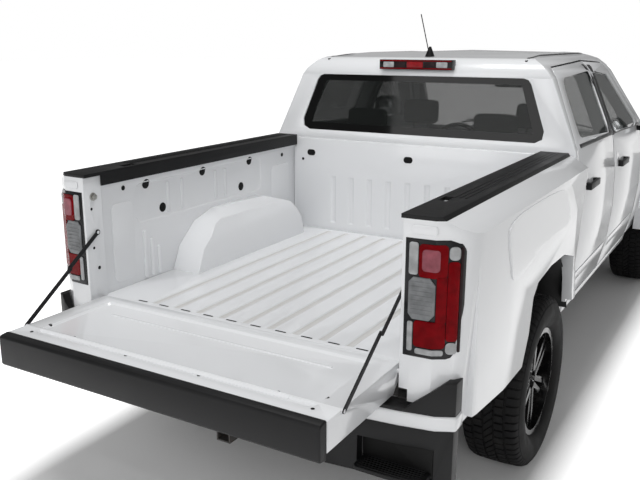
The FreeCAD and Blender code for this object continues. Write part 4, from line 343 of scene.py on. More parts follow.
def lens(name, color, alpha, rib, direction="X", shine=0.14):
    """Lamp lens, smooth or ribbed inside."""
    finish = Finish(name, roughness=0.14, specular_ior_level=shine, coat_weight=shine * 0.7,
                    coat_roughness=0.03)
    tone = finish.noise(30, 3)
    finish.set("Base Color", finish.mix(tone.step(0.5, 0.5), color, shaded(color, 0.55)))
    finish.set("Alpha", tone * 0.04 + alpha)
    if rib:
        finish.bump(finish.waves(rib, direction), 0.8, 0.0012)
    return finish


def woven(name, color):
    """Seat cloth with a fine crossed weave."""
    finish = Finish(name, roughness=0.85, sheen_weight=0.25, sheen_roughness=0.5)
    weave = finish.waves(420, "X") * finish.waves(420, "Z")
    fleck = finish.noise(500)
    finish.set("Base Color", finish.mix(weave * 0.6 + fleck * 0.3, color, shaded(color, 2, 0.01)))
    finish.set("Roughness", fleck * 0.15 + 0.75)
    return finish.bump(weave, 0.5, 0.0006)


# Finish: its maker, its colour or the name of a colour property, and what else the maker takes
MAKERS = {
    "body_paint": (painted, "body"),
    # Bed floor: body paint with painted shade darkening its grooves
    "floor_paint": (painted, "body", FLOOR_TOP - GROOVE_DEPTH),
    "trim_plastic": (moulded, "trim"),
    "smooth_plastic": (moulded, (0.012, 0.012, 0.013), 1600, 0.32),
    "cabin_plastic": (moulded, (0.035, 0.035, 0.037), 700, 0.6),
    "tank_plastic": (moulded, (0.022, 0.022, 0.022), 300, 0.62),
    "tyre_rubber": (rubber, (0.008, 0.008, 0.0085)),
    "wheel_black": (gloss_black, (0.005, 0.005, 0.0055)),
    "frame_black": (chassis_paint, (0.016, 0.016, 0.017)),
    "cast_metal": (chassis_paint, (0.11, 0.105, 0.1), 0.6),
    "pipe_steel": (metal, (0.36, 0.34, 0.32), 0.42, 40),
    "chrome": (metal, (0.85, 0.86, 0.87), 0.16, 30),
    "zinc": (metal, (0.52, 0.51, 0.48), 0.4, 90),
    "mirror_glass": (metal, (0.80, 0.83, 0.84), 0.12, 12),
    "strap_steel": (moulded, (0.01, 0.01, 0.011), 1200),
    "lamp_rim": (moulded, (0.008, 0.008, 0.009), 1500, 0.22),
    # Near-black: painted shade in holes and the step's pocket, and the real colour of the arch liners
    "hole_black": (moulded, (0.004, 0.004, 0.004), 1200, 0.7),
    "tinted_glass": (window, (0.035, 0.045, 0.043), 0.62),
    "rear_glass": (bordered, (0.010, 0.012, 0.011)),
    "pink_lens": (lens, (0.50, 0.13, 0.17), 1.0, 220),
    "white_lens": (lens, (0.66, 0.67, 0.68), 0.94, 150, "Z"),
    "grey_lens": (lens, (0.34, 0.35, 0.36), 0.97, 200),
    "smoke_lens": (lens, (0.035, 0.02, 0.022), 0.95, 0, "X", 0.05),
    "bright_red": (lens, (0.52, 0.012, 0.02), 0.97, 240),
    "red_lens": (lens, (0.30, 0.002, 0.006), 1.0, 260, "X", 0.03),
    "seat_cloth": (woven, (0.03, 0.03, 0.032)),
}
FINISHES = {}


def finish_of(name):
    """A named finish, made the first time it is asked for."""
    if name not in FINISHES:
        maker, color, *rest = MAKERS[name]
        if isinstance(color, str):
            color = tuple(getattr(bpy.context.scene.pickup_paint, color))
        FINISHES[name] = maker(name, color, *rest).material
    return FINISHES[name]


# Outlines and places

def middle(node):
    """The centre of a CAD node's box."""
    low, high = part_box(node)
    return (low + high) / 2


def body_of(node):
    return NODES[node]["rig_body"]


def spread_out(first, last, count):
    """Evenly spaced numbers, both ends included."""
    return [first + (last - first) * index / (count - 1) for index in range(count)]


def rounded(low, high, radius, steps=4):
    """Outline of a rectangle with rounded corners, counter-clockwise."""
    points = []
    corners = ((high[0], high[1], -1, -1), (low[0], high[1], 1, -1), (low[0], low[1], 1, 1),
               (high[0], low[1], -1, 1))
    for corner, (x, y, inward_x, inward_y) in enumerate(corners):
        for step in range(steps + 1):
            turn = math.radians(90 * corner + 90 * step / steps)
            points.append((x + inward_x * radius + radius * math.cos(turn),
                           y + inward_y * radius + radius * math.sin(turn)))
    return points


def slat(low, high):
    """Outline of a bar about 6 mm wide."""
    return rounded(low, high, 0.0028, 2)


def ring_points(centre, radius, sides):
    """Outline of a circle or a regular polygon."""
    return [(centre[0] + radius * math.cos(math.tau * index / sides),
             centre[1] + radius * math.sin(math.tau * index / sides)) for index in range(sides)]


def eased(points, rounds=2):
    """A closed outline with its corners cut off evenly, again and again."""
    for _ in range(rounds):
        points = [(a[0] * (1 - share) + b[0] * share, a[1] * (1 - share) + b[1] * share)
                  for a, b in zip(points, points[1:] + points[:1]) for share in (0.25, 0.75)]
    return points


def facing(origin, out):
    """Places flat points on a plane square to X, Y or Z: along it, up it, and out of it."""
    origin, out = Vector(origin), Vector(out)
    along = Vector((0, 1, 0)) if out.x else Vector((1, 0, 0))
    up = Vector((0, 1, 0)) if out.z else Vector((0, 0, 1))
    return lambda s, t, d: origin + along * s + up * t + out * d


def following(path, sign=1):
    """Places flat points round an upright wall that follows a path seen from above."""
    points = [Vector((x, y)) for x, y in path]
    lengths = [0]
    for first, second in zip(points, points[1:]):
        lengths.append(lengths[-1] + (second - first).length)
    outward = [Vector(((b - a).y, -(b - a).x)).normalized() for a, b in zip(points, points[1:])]
    corner = [outward[0], *((a + b) / (1 + a.dot(b)) for a, b in zip(outward, outward[1:])), outward[-1]]

    def place(s, t, d):
        index = max(i for i in range(len(points) - 1) if i == 0 or s >= lengths[i])
        share = (s - lengths[index]) / (lengths[index + 1] - lengths[index])
        spot = (points[index] + corner[index] * d).lerp(points[index + 1] + corner[index + 1] * d, share)
        return at(spot.x * sign, spot.y, t)

    place.cuts = lengths[1:-1]
    return place


def draped(node, look, start, reach=1.5):
    """Places flat points on a CAD node, looking along X, Y or Z from a starting plane.

    The flat points are (y, z), (x, z) or (x, y), from the rear axle.
    """
    tree = BVHTree.FromBMesh(merged(node))
    look = Vector(look)

    def place(s, t, d):
        if look.x:
            origin = at(start, s, t)
        elif look.y:
            origin = at(s, start, t)
        else:
            origin = at(s, t, start)
        spot = tree.ray_cast(origin, look, reach)[0] or tree.find_nearest(origin + look * reach * 0.5)[0]
        return spot - look * d
    return place


# Mesh helpers

def merged(node):
    """A copy of a CAD node's triangles with shared corners and whole flat faces."""
    shape = bmesh.new()
    shape.from_mesh(NODES[node].data)
    bmesh.ops.remove_doubles(shape, verts=shape.verts, dist=0.00002)
    bmesh.ops.dissolve_limit(shape, angle_limit=math.radians(0.8), verts=shape.verts, edges=shape.edges)
    return shape


def bevel(shape, edges, width, segments=2):
    bmesh.ops.bevel(shape, geom=edges, offset=width, offset_type="OFFSET", segments=segments, profile=0.5,
                    affect="EDGES", clamp_overlap=True, material=-1)


def join(target, part):
    """Move one shape's mesh into another."""
    carrier = bpy.data.meshes.new("carrier")
    part.to_mesh(carrier)
    part.free()
    target.from_mesh(carrier)
    bpy.data.meshes.remove(carrier)


def skin(shape, rows):
    """Join neighbouring rows of points with four-sided faces."""
    for first, second in zip(rows, rows[1:]):
        for index in range(len(first) - 1):
            shape.faces.new((first[index], second[index], second[index + 1], first[index + 1]))


def show(name, shape, finish, body="root", angle=35, replaces=()):
    """Turn a bmesh into a finished piece that rides on a body."""
    mesh = bpy.data.meshes.new(name)
    shape.to_mesh(mesh)
    shape.free()
    mesh.shade_smooth()
    mesh.set_sharp_from_angle(angle=math.radians(angle))
    piece = bpy.data.objects.new(name, mesh)
    bpy.context.scene.collection.objects.link(piece)
    mesh.materials.append(finish_of(finish))
    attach(piece, body)
    if replaces:
        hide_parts(*replaces)
    return piece


def dress(nodes, finish, width, angle=35):
    """Stand a copy of each CAD node in its place, with its sharp edges softened."""
    sharp = math.radians(28)
    for node in nodes.split():
        shape = merged(node)
        bevel(shape, [edge for edge in shape.edges
                      if len(edge.link_faces) == 2 and edge.calc_face_angle(0) > sharp], width)
        show(f"{node}_form", shape, finish, body_of(node), angle, (node,))


def coat(nodes, finish):
    """Give each CAD node its material."""
    for node in nodes.split():
        mesh = NODES[node].data
        mesh.materials.clear()
        mesh.materials.append(finish_of(finish))


def pressed(target, outline, place, depth, lift, edge, net=None, segments=2):
    """Add a flat outline to a shape as a raised plate with a rounded upper edge.

    The lift is its gap from the surface, and a net splits it so that it bends with the surface.
    """
    plate = bmesh.new()
    plate.faces.new([plate.verts.new((x, y, 0)) for x, y in outline])
    planes = [((cut, 0, 0), (1, 0, 0)) for cut in getattr(place, "cuts", ())]
    if net:
        for axis in (0, 1):
            low, high = min(p[axis] for p in outline), max(p[axis] for p in outline)
            for step in range(1, math.ceil((high - low) / net)):
                spot, normal = [0, 0, 0], [0, 0, 0]
                spot[axis], normal[axis] = low + step * net, 1
                planes.append((spot, normal))
    for spot, normal in planes:
        bmesh.ops.bisect_plane(plate, geom=plate.verts[:] + plate.edges[:] + plate.faces[:],
                               plane_co=spot, plane_no=normal, dist=0.00001)
    raised = bmesh.ops.extrude_face_region(plate, geom=plate.faces[:], use_keep_orig=True)
    top = [item for item in raised["geom"] if isinstance(item, bmesh.types.BMVert)]
    bmesh.ops.translate(plate, verts=top, vec=(0, 0, depth))
    plate.normal_update()
    bevel(plate, [item for item in plate.edges if len(item.link_faces) == 2 and item.verts[0] in top
                  and item.verts[1] in top and item.calc_face_angle(0) > 0.5], edge, segments)
    for vert in plate.verts:
        vert.co = place(vert.co.x, vert.co.y, lift + vert.co.z)
    bmesh.ops.recalc_face_normals(plate, faces=plate.faces)
    join(target, plate)


def relief(name, finish, *rows, body="root"):
    """A piece of raised plates; a row holds outlines, their place, and depth, lift, edge, net, segments."""
    shape = bmesh.new()
    for outlines, *sizes in rows:
        for outline in outlines:
            pressed(shape, outline, *sizes)
    show(name, shape, finish, body)


def lathed(name, finish, profile, spots, axis, steps, body="root"):
    """A piece with a profile of (distance along the axis, radius) spun round the axis at each spot."""
    axis = Vector(axis)
    side = axis.orthogonal().normalized()
    shape = bmesh.new()
    for centre in spots:
        part = bmesh.new()
        verts = [part.verts.new(centre + axis * along + side * radius) for along, radius in profile]
        edges = [part.edges.new(pair) for pair in zip(verts, verts[1:])]
        bmesh.ops.spin(part, geom=verts + edges, cent=centre, axis=axis, dvec=(0, 0, 0), angle=math.tau,
                       steps=steps, use_merge=True, use_duplicate=False)
        bmesh.ops.remove_doubles(part, verts=part.verts, dist=0.00001)
        bmesh.ops.recalc_face_normals(part, faces=part.faces)
        join(shape, part)
    show(name, shape, finish, body)


def hose(target, points, radius, sides=8):
    """Add a tube through points, with closed ends."""
    part = bmesh.new()
    rings = []
    normal = (points[1] - points[0]).orthogonal().normalized()
    for index, point in enumerate(points):
        ahead = points[min(index + 1, len(points) - 1)] - points[max(index - 1, 0)]
        normal = (normal - ahead * (normal.dot(ahead) / ahead.length_squared)).normalized()
        binormal = ahead.normalized().cross(normal)
        rings.append([part.verts.new(point + (normal * math.cos(math.tau * k / sides)
                                              + binormal * math.sin(math.tau * k / sides)) * radius)
                      for k in range(sides)])
    skin(part, [ring + ring[:1] for ring in rings])
    part.faces.new(rings[0])
    part.faces.new(rings[-1])
    bmesh.ops.recalc_face_normals(part, faces=part.faces)
    join(target, part)


def piped(name, finish, runs, body="root"):
    """A piece of tubes, each given by its points, its radius and perhaps its number of sides."""
    shape = bmesh.new()
    for run in runs:
        hose(shape, *run)
    show(name, shape, finish, body)


# Operators

class PieceOperator:
    """Shared by the operators: each makes its pieces once."""
    bl_options = {"REGISTER", "UNDO"}

    def execute(self, context):
        self.make(context.scene)
        return {"FINISHED"}


class PICKUP_OT_body(PieceOperator, bpy.types.Operator):
    """Painted cab, doors, fenders and hood"""
    bl_idname = "pickup.body"
    bl_label = "Painted body"

    def make(self, scene):
        dress("cab_sides cab_roof cab_back cab_cowl front_fenders hood " + DOOR_NODES.format("door"),
              "body_paint", scene.pickup_paint.edge)


class PICKUP_OT_bed(PieceOperator, bpy.types.Operator):
    """Painted bed, wheelhouses, headboard and tailgate"""
    bl_idname = "pickup.bed"
    bl_label = "Bed and tailgate"

    # Outline of the rear flare's pressed field, as (y, z)
    flare = [(-0.698, 1.085), (-0.722, 1.215), (-0.640, 1.252), (-0.388, 1.258), (-0.020, 1.250),
             (0.120, 1.232), (0.165, 1.165), (0.160, 1.075), (0.020, 1.082), (-0.200, 1.090), (-0.400, 1.062),
             (-0.560, 1.030), (-0.680, 1.036)]
    # Wheel arch liner: axle, reach ahead, above and behind, inner edge, and angle at which it starts
    liners = (("rear", 0.0, 0.535, 0.585, 0.560, 0.600, 19),
              ("front", WHEELBASE, 0.545, 0.590, 0.560, 0.425, 12))
    # Inner face of the rear pillar, and the cable from its sleeve's upper end to the gate
    pillar_x, cable_x = 0.703, 0.6852
    cable_top, cable_foot = Vector((-1.192, 0.977)), Vector((-1.435, 0.805))

    def make(self, scene):
        dress("bed_sides wheelhouses headboard tailgate", "body_paint", scene.pickup_paint.edge)
        dress("bed_floor", "floor_paint", scene.pickup_paint.edge)
        for side, sign in SIDES:
            self.wall(side, sign)
            self.outside(side, sign)
            self.arches(side, sign)
        self.floor_and_board()
        self.gate()

    def wall(self, side, sign):
        """Pressed ribs, holes drawn as near-black discs of painted shade, striker and cable fittings of one
        bed wall.
        """
        wall = draped("bed_sides", (sign, 0, 0), sign * 0.3)
        relief(f"wall_ribs_{side}", "body_paint",
               ([rounded((y - 0.010, 1.080), (y + 0.010, 1.225), 0.009)
                 for y in (-0.56, -0.46, -0.20, -0.12)], wall, 0.005, 0, 0.003),
               ([rounded((y - 0.011, 0.806), (y + 0.011, top), 0.010)
                 for y, top in ((-0.735, 1.030), (-0.690, 0.985), (-0.645, 0.940))], wall, 0.007, 0, 0.004),
               ([rounded((-0.930, 0.830), (-0.800, 1.180), 0.03),
                 rounded((0.300, 0.860), (0.480, 1.180), 0.03)], wall, 0.003, 0, 0.002))
        large = ((-0.706, 1.235), (-0.303, 1.235), (0.093, 1.235), (-0.600, 1.109), (0.016, 1.109))
        small = ((0.408, 1.229), (-0.852, 1.240))
        bolts = ((-1.052, 1.185, 0.006), (-1.052, 1.020, 0.006), (-1.030, 0.930, 0.008))
        # Holes drawn as near-black discs: painted shade
        relief(f"wall_holes_{side}", "hole_black",
               ([ring_points(spot, 0.022, 20) for spot in large], wall, 0.0012, 0.0002, 0.0006),
               ([ring_points(spot, 0.011, 16) for spot in small], wall, 0.0012, 0.0002, 0.0006),
               ([ring_points((y, z), radius, 14) for y, z, radius in bolts],
                facing(at(sign * self.pillar_x, 0, 0), (-sign, 0, 0)), 0.0008, 0.0002, 0.0004))
        lathed(f"striker_{side}", "zinc",
               [(-0.002, 0.0), (-0.002, 0.017), (0.003, 0.017), (0.0045, 0.014), (0.0045, 0.007),
                (0.011, 0.007), (0.012, 0.011), (0.0145, 0.011), (0.0155, 0.009), (0.0155, 0)],
               [at(sign * self.pillar_x, -1.040, 1.235)], (-sign, 0, 0), 20)
        lathed(f"cable_ball_{side}", "strap_steel",
               [(-0.006, 0), (-0.006, 0.009), (-0.003, 0.012), (0.0015, 0.012), (0.0028, 0.010), (0.0029, 0)],
               [at(sign * 0.6935, -1.035, 1.085)], (-sign, 0, 0), 20, "upper_stay")
        ends = [[self.cable_top.lerp(self.cable_foot, share) for share in shares]
                for shares in ((0.10, 0.46), (0.86, 1.0))]
        piped(f"cable_sleeve_{side}", "strap_steel",
              [([at(sign * self.cable_x, spot.x, spot.y) for spot in (a, (a + b) / 2, b)], 0.0042, 10)
               for a, b in ends], "lower_stay")

    def outside(self, side, sign):
        """The large pressed field of the rear flare and the small one over the lamp."""
        relief(f"flare_field_{side}", "body_paint",
               ([eased(self.flare)], draped("bed_sides", (-sign, 0, 0), sign * 1.2),
                0.004, 0.0, 0.0035, 0.03, 3),
               ([rounded((0.018, 1.272), (0.105, 1.302), 0.010)], following(PICKUP_OT_lamps.rear_path, sign),
                0.0022, 0.0, 0.0016))

    def arches(self, side, sign):
        """Black liners inside the wheel arches."""
        for end, axle, ahead, above, behind, inner, start in self.liners:
            shape = bmesh.new()
            rows = []
            for turn in spread_out(math.radians(start), math.radians(160), 25):
                across, up = math.cos(turn), math.sin(turn)
                y, z = axle + (ahead if across > 0 else behind) * across, HUB_HEIGHT + above * up
                row = [at(sign * (inner + 0.001), axle + 0.30 * across, HUB_HEIGHT + 0.36 * up)]
                row += [at(sign * x, y, z) for x in (inner, 0.74, 0.885)]
                rows.append([shape.verts.new(spot) for spot in row])
            skin(shape, rows)
            piece = show(f"arch_liner_{end}_{side}", shape, "hole_black", angle=60)
            thick = piece.modifiers.new("thickness", "SOLIDIFY")
            thick.thickness = 0.003
            thick.offset = 0

    def floor_and_board(self):
        """Drain slots of the floor and holes of the headboard, drawn as near-black plates of painted shade.
        """
        floor = draped("bed_floor", (0, 0, -1), 1.0)
        board = draped("headboard", (0, 1, 0), 0.0)
        rib_pitch = 0.114
        slots = [(index + 0.5) * rib_pitch for index in range(-5, 5)]
        # Slots and holes drawn as near-black plates: painted shade
        relief("bed_holes", "hole_black",
               ([rounded((x - 0.024, -0.985), (x + 0.024, -0.977), 0.0035, 3) for x in slots],
                floor, 0.0008, 0.0002, 0.0003),
               ([rounded((x - 0.026, 1.218), (x + 0.026, 1.252), 0.016) for x in (-0.60, 0.0, 0.60)],
                board, 0.0012, 0.0002, 0.0006),
               ([ring_points((x, 1.195), 0.008, 14) for x in (-0.655, 0.655)], board, 0.0012, 0.0002, 0.0006))

    def gate(self):
        """Screw holes, drawn as near-black discs of painted shade, and long ribs on the tailgate's inner
        side.
        """
        top = draped("tailgate", (0, 0, -1), 1.0)
        screws = ((0.605, -1.39), (0.605, -1.477), (0.447, -1.42), (0.16, -1.45))
        # Screw holes drawn as near-black discs: painted shade
        relief("gate_holes", "hole_black",
               ([ring_points((x * sign, y), 0.0065, 14) for x, y in screws for sign in SIGNS],
                top, 0.0008, 0.0002, 0.0003), body="gate")
        relief("gate_ribs", "body_paint",
               ([rounded((-0.50, y - 0.006), (0.50, y + 0.006), 0.0055) for y in (-1.175, -1.445)],
                top, 0.003, 0.0, 0.002, 0.25), body="gate")


class PICKUP_OT_trim(PieceOperator, bpy.types.Operator):
    """Black plastic rails, caps, pads, handles and mirrors"""
    bl_idname = "pickup.trim"
    bl_label = "Plastic trim"

    # Path of the front bumper's end, seen from above
    cheek_path = [(0.505, 4.062), (0.640, 4.038), (0.760, 3.996), (0.862, 3.936)]

    def make(self, scene):
        dress("rail_caps gate_cap bumper_pads", "trim_plastic", 0.006)
        dress("grille antenna " + DOOR_NODES.format("door_trim"), "trim_plastic", 0.002)
        relief("roof_strips", "smooth_plastic",
               ([rounded((x - 0.007, 0.665), (x + 0.007, 2.09), 0.006, 2) for x in (-0.56, 0.56)],
                draped("cab_roof", (0, 0, -1), 2.2), 0.002, 0.0003, 0.001, 0.05))
        dress("front_bumper rear_bumper", "body_paint", 0.008)
        for side, sign in SIDES:
            self.cap_ribs(side, sign)
            self.step(side, sign)
        self.face()

    def cap_ribs(self, side, sign):
        """Long ribs on a rail cap."""
        relief(f"cap_ribs_{side}", "trim_plastic",
               ([rounded((sign * x - 0.0035, -0.770), (sign * x + 0.0035, 0.520), 0.003, 2)
                 for x in (0.748, 0.768, 0.788)], draped("rail_caps", (0, 0, -1), 1.6), 0.002, 0.0, 0.0015))

    def step(self, side, sign):
        """Ribbed step plate in the bumper's corner, and a near-black panel behind it: painted shade in the
        step's pocket.
        """
        middle_x = sign * 0.71
        plate = facing(at(middle_x, -1.150, 0.462), (0, 0, 1))
        relief(f"step_plate_{side}", "trim_plastic",
               ([rounded((-0.125, -0.040), (0.125, 0.060), 0.020)], plate, 0.014, 0.0, 0.005),
               ([slat((-0.108, y - 0.003), (0.108, y + 0.003)) for y in spread_out(-0.028, 0.048, 7)],
                plate, 0.003, 0.0138, 0.0012))
        # Near-black panel at the back of the step's pocket: painted shade
        relief(f"step_back_{side}", "hole_black",
               ([rounded((-0.128, -0.085), (0.128, 0.085), 0.012)],
                facing(at(middle_x, -1.098, 0.53), (0, -1, 0)), 0.003, 0.0, 0.001))

    def face(self):
        """Grille mesh, lower intake and lamps of the front bumper."""
        mesh = facing((0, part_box("grille")[1].y - 0.052, 0.845), (0, 1, 0))
        relief("grille_mesh", "smooth_plastic",
               ([slat((-0.44, z - 0.003), (0.44, z + 0.003)) for z in spread_out(-0.125, 0.125, 11)],
                mesh, 0.006, 0, 0.0015),
               ([slat((x - 0.003, -0.13), (x + 0.003, 0.13)) for x in spread_out(-0.42, 0.42, 29)],
                mesh, 0.005, 0, 0.0015))
        bumper = draped("front_bumper", (0, -1, 0), 5.2)
        relief("front_cheeks", "body_paint",
               *[([rounded((0.0, 0.676), (0.372, 0.838), 0.010)], following(self.cheek_path, sign),
                  -0.012, 0, 0.004) for _, sign in SIDES])
        inside = facing((0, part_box("front_bumper")[1].y - 0.105, 0.540), (0, 1, 0))
        relief("bumper_intakes", "trim_plastic",
               ([rounded((-0.494, -0.050), (0.494, 0.050), 0.02)], inside, 0.006, 0.0, 0.002),
               ([rounded((sign * 0.165 - 0.080, 0.489), (sign * 0.165 + 0.080, 0.591), 0.004)
                 for sign in SIGNS], bumper, 0.0025, 0.0005, 0.001, 0.06),
               ([rounded((sign * 0.66 - 0.075, 0.455), (sign * 0.66 + 0.075, 0.560), 0.02)
                 for sign in SIGNS], bumper, 0.003, 0.0005, 0.002, 0.05))
        heights = (-0.026, 0.0, 0.026)
        relief("intake_bars", "smooth_plastic",
               ([rounded((-0.49, z - 0.005), (0.49, z + 0.005), 0.0045, 2) for z in heights],
                inside, 0.008, 0.005, 0.002),
               ([rounded((sign * 0.168 - 0.075, z + 0.535), (sign * 0.168 + 0.075, z + 0.545), 0.0045, 2)
                 for z in heights for sign in SIGNS], bumper, 0.003, 0.0028, 0.0015, 0.06))
        relief("fog_lenses", "white_lens",
               ([ring_points((sign * 0.66, 0.507), 0.034, 24) for sign in SIGNS],
                bumper, 0.005, 0.0032, 0.003, 0.03))


class PICKUP_OT_glass(PieceOperator, bpy.types.Operator):
    """Windscreen, rear and side windows"""
    bl_idname = "pickup.glass"
    bl_label = "Glass"

    # Window pillar and belt strip of each door, as (y, z)
    strips = {
        "rear": [[(1.432, 1.340), (1.511, 1.340), (1.511, 1.722), (1.432, 1.722)],
                 [(0.700, 1.338), (1.511, 1.326), (1.511, 1.343), (0.700, 1.356)]],
        "front": [[(1.527, 1.340), (1.600, 1.340), (1.600, 1.716), (1.527, 1.716)],
                  [(1.527, 1.326), (2.440, 1.300), (2.440, 1.318), (1.527, 1.343)]]}
    # Ends of each door's crease and the middle of its handle, as y
    creases = {"rear": (0.700, 1.460, 0.770), "front": (1.560, 2.420, 1.615)}

    def make(self, scene):
        coat("fixed_glass", "rear_glass")
        coat(DOOR_NODES.format("door_glass"), "tinted_glass")
        for side, sign in SIDES:
            self.door_lines(side, sign)
            relief(f"mirror_glass_{side}", "mirror_glass",
                   ([rounded((-0.052, -0.062), (0.052, 0.062), 0.02)],
                    facing(at(sign * 0.965, 2.288, 1.352), (0, -1, 0)), 0.003, 0.0, 0.001),
                   body=body_of(f"door_front_{side}"))
        self.wipers()

    def wipers(self):
        """Two wiper arms with blades at the foot of the windscreen."""
        screen = draped("fixed_glass", (0, -1, 0), 4.0, 2.6)
        runs = []
        for first, last in ((-0.52, -0.02), (0.06, 0.54)):
            blade = [screen(x, 1.215 + 0.03 * math.sin(math.pi * k / 6), 0.010)
                     for k, x in enumerate(spread_out(first, last, 7))]
            pivot = screen(first + 0.06, 1.185, 0.004)
            arm = [pivot, blade[2] + Vector((0, 0.012, 0.004)), blade[4] + Vector((0, 0.008, 0.004))]
            runs += [(blade, 0.006), (arm, 0.005)]
        piped("wipers", "smooth_plastic", runs)

    def door_lines(self, side, sign):
        """Black window pillars and belt strips, the door's long crease and the bowl behind its handle."""
        for end, outlines in self.strips.items():
            node = f"door_{end}_{side}"
            door = draped(node, (-sign, 0, 0), sign * 1.2, 0.62)
            relief(f"window_strips_{end}_{side}", "smooth_plastic",
                   (outlines, door, 0.0025, 0.0005, 0.001, 0.04), body=body_of(node))
            first, last, grip = self.creases[end]
            relief(f"door_lines_{end}_{side}", "body_paint",
                   ([rounded((first, 0.640), (last, 0.700), 0.020)], door, 0.004, 0.0, 0.0035, 0.08, 3),
                   ([ring_points((grip, 1.178), 0.040, 28)], door, 0.0022, 0.0, 0.0018, 0.03),
                   body=body_of(node))


class PICKUP_OT_lamps(PieceOperator, bpy.types.Operator):
    """Head, tail and high brake lamps"""
    bl_idname = "pickup.lamps"
    bl_label = "Lamps"

    # Path of a tail lamp's face, seen from above
    rear_path = [(0.714, -1.090), (0.740, -1.090), (0.812, -1.0852), (0.875, -1.0452), (0.893, -1.0166)]
    # Lenses by finish: low corner, high corner and corner radius; on a tail lamp along its path and up
    tail = {
        "red_lens": [((0.047, 1.136), (0.1385, 1.244), 0.012), ((0.106, 0.988), (0.1385, 1.142), 0.006),
                     ((0.036, 0.903), (0.1385, 0.992), 0.012), ((0.1400, 0.928), (0.1765, 1.190), 0.010)],
        "white_lens": [((0.0145, 1.142), (0.0445, 1.247), 0.008), ((0.0145, 0.886), (0.0325, 0.986), 0.006),
                       ((0.1415, 1.195), (0.1765, 1.238), 0.014), ((0.1400, 0.884), (0.1765, 0.923), 0.014),
                       ((0.042, 0.879), (0.134, 0.898), 0.007)],
        "pink_lens": [((0.058, 1.157), (0.115, 1.228), 0.012)],
        "smoke_lens": [((0.1785, 0.890), (0.1890, 1.236), 0.004)],
    }
    reverse = [(0.030, 0.994), (0.084, 0.994), (0.103, 1.016), (0.103, 1.112), (0.084, 1.135), (0.030, 1.135),
               (0.015, 1.118), (0.015, 1.012)]
    high = {
        "bright_red": [((-0.045, -0.015), (0.045, 0.015), 0.004)],
        "white_lens": [((-0.180, -0.014), (-0.120, 0.014), 0.004), ((0.120, -0.014), (0.180, 0.014), 0.004)],
        "smoke_lens": [((-0.112, -0.014), (-0.053, 0.014), 0.004), ((0.053, -0.014), (0.112, 0.014), 0.004)],
        "red_lens": [((-0.202, -0.023), (0.202, -0.0165), 0.002), ((-0.202, 0.0165), (0.202, 0.023), 0.002)],
    }

    def make(self, scene):
        dress("lamps", "lamp_rim", 0.004)
        for side, sign in SIDES:
            self.rear(side, following(self.rear_path, sign))
            self.front(side, sign)
        band = facing(at(0, 0.5905, 1.731), (0, -1, 0))
        for finish, boxes in self.high.items():
            relief(f"high_lamp_{finish}", finish,
                   ([rounded(*box, 3) for box in boxes], band, 0.004, 0.0005, 0.001))

    def rear(self, side, place):
        for finish, boxes in self.tail.items():
            relief(f"tail_{finish}_{side}", finish,
                   ([rounded(*box) for box in boxes], place, 0.004,
                    0.005 if finish == "pink_lens" else 0.0015, 0.0015))
        relief(f"tail_reverse_{side}", "grey_lens",
               ([self.reverse], place, 0.005, 0.0015, 0.004, None, 3),
               ([slat((0.024, z - 0.003), (0.094, z + 0.003)) for z in spread_out(1.012, 1.118, 8)],
                place, 0.0022, 0.0062, 0.001))

    def front(self, side, sign):
        """The two lenses of a head lamp and the bright rings on them."""
        place = draped("lamps", (0, -1, 0), 5.2, 1.6)
        relief(f"head_lens_{side}", "white_lens",
               ([rounded((sign * x - 0.0725, low), (sign * x + 0.0725, high), 0.018)
                 for x, low, high in ((0.5925, 0.862, 0.990), (0.7575, 0.870, 0.985))],
                place, 0.006, 0.001, 0.004, 0.05))
        lathed(f"head_rings_{side}", "chrome",
               [(-0.004, 0.046), (0.003, 0.046), (0.004, 0.043), (0.002, 0.038), (-0.002, 0.038)],
               [place(sign * x, 0.928, 0.006) for x in (0.592, 0.757)], (0, 1, 0), 28)


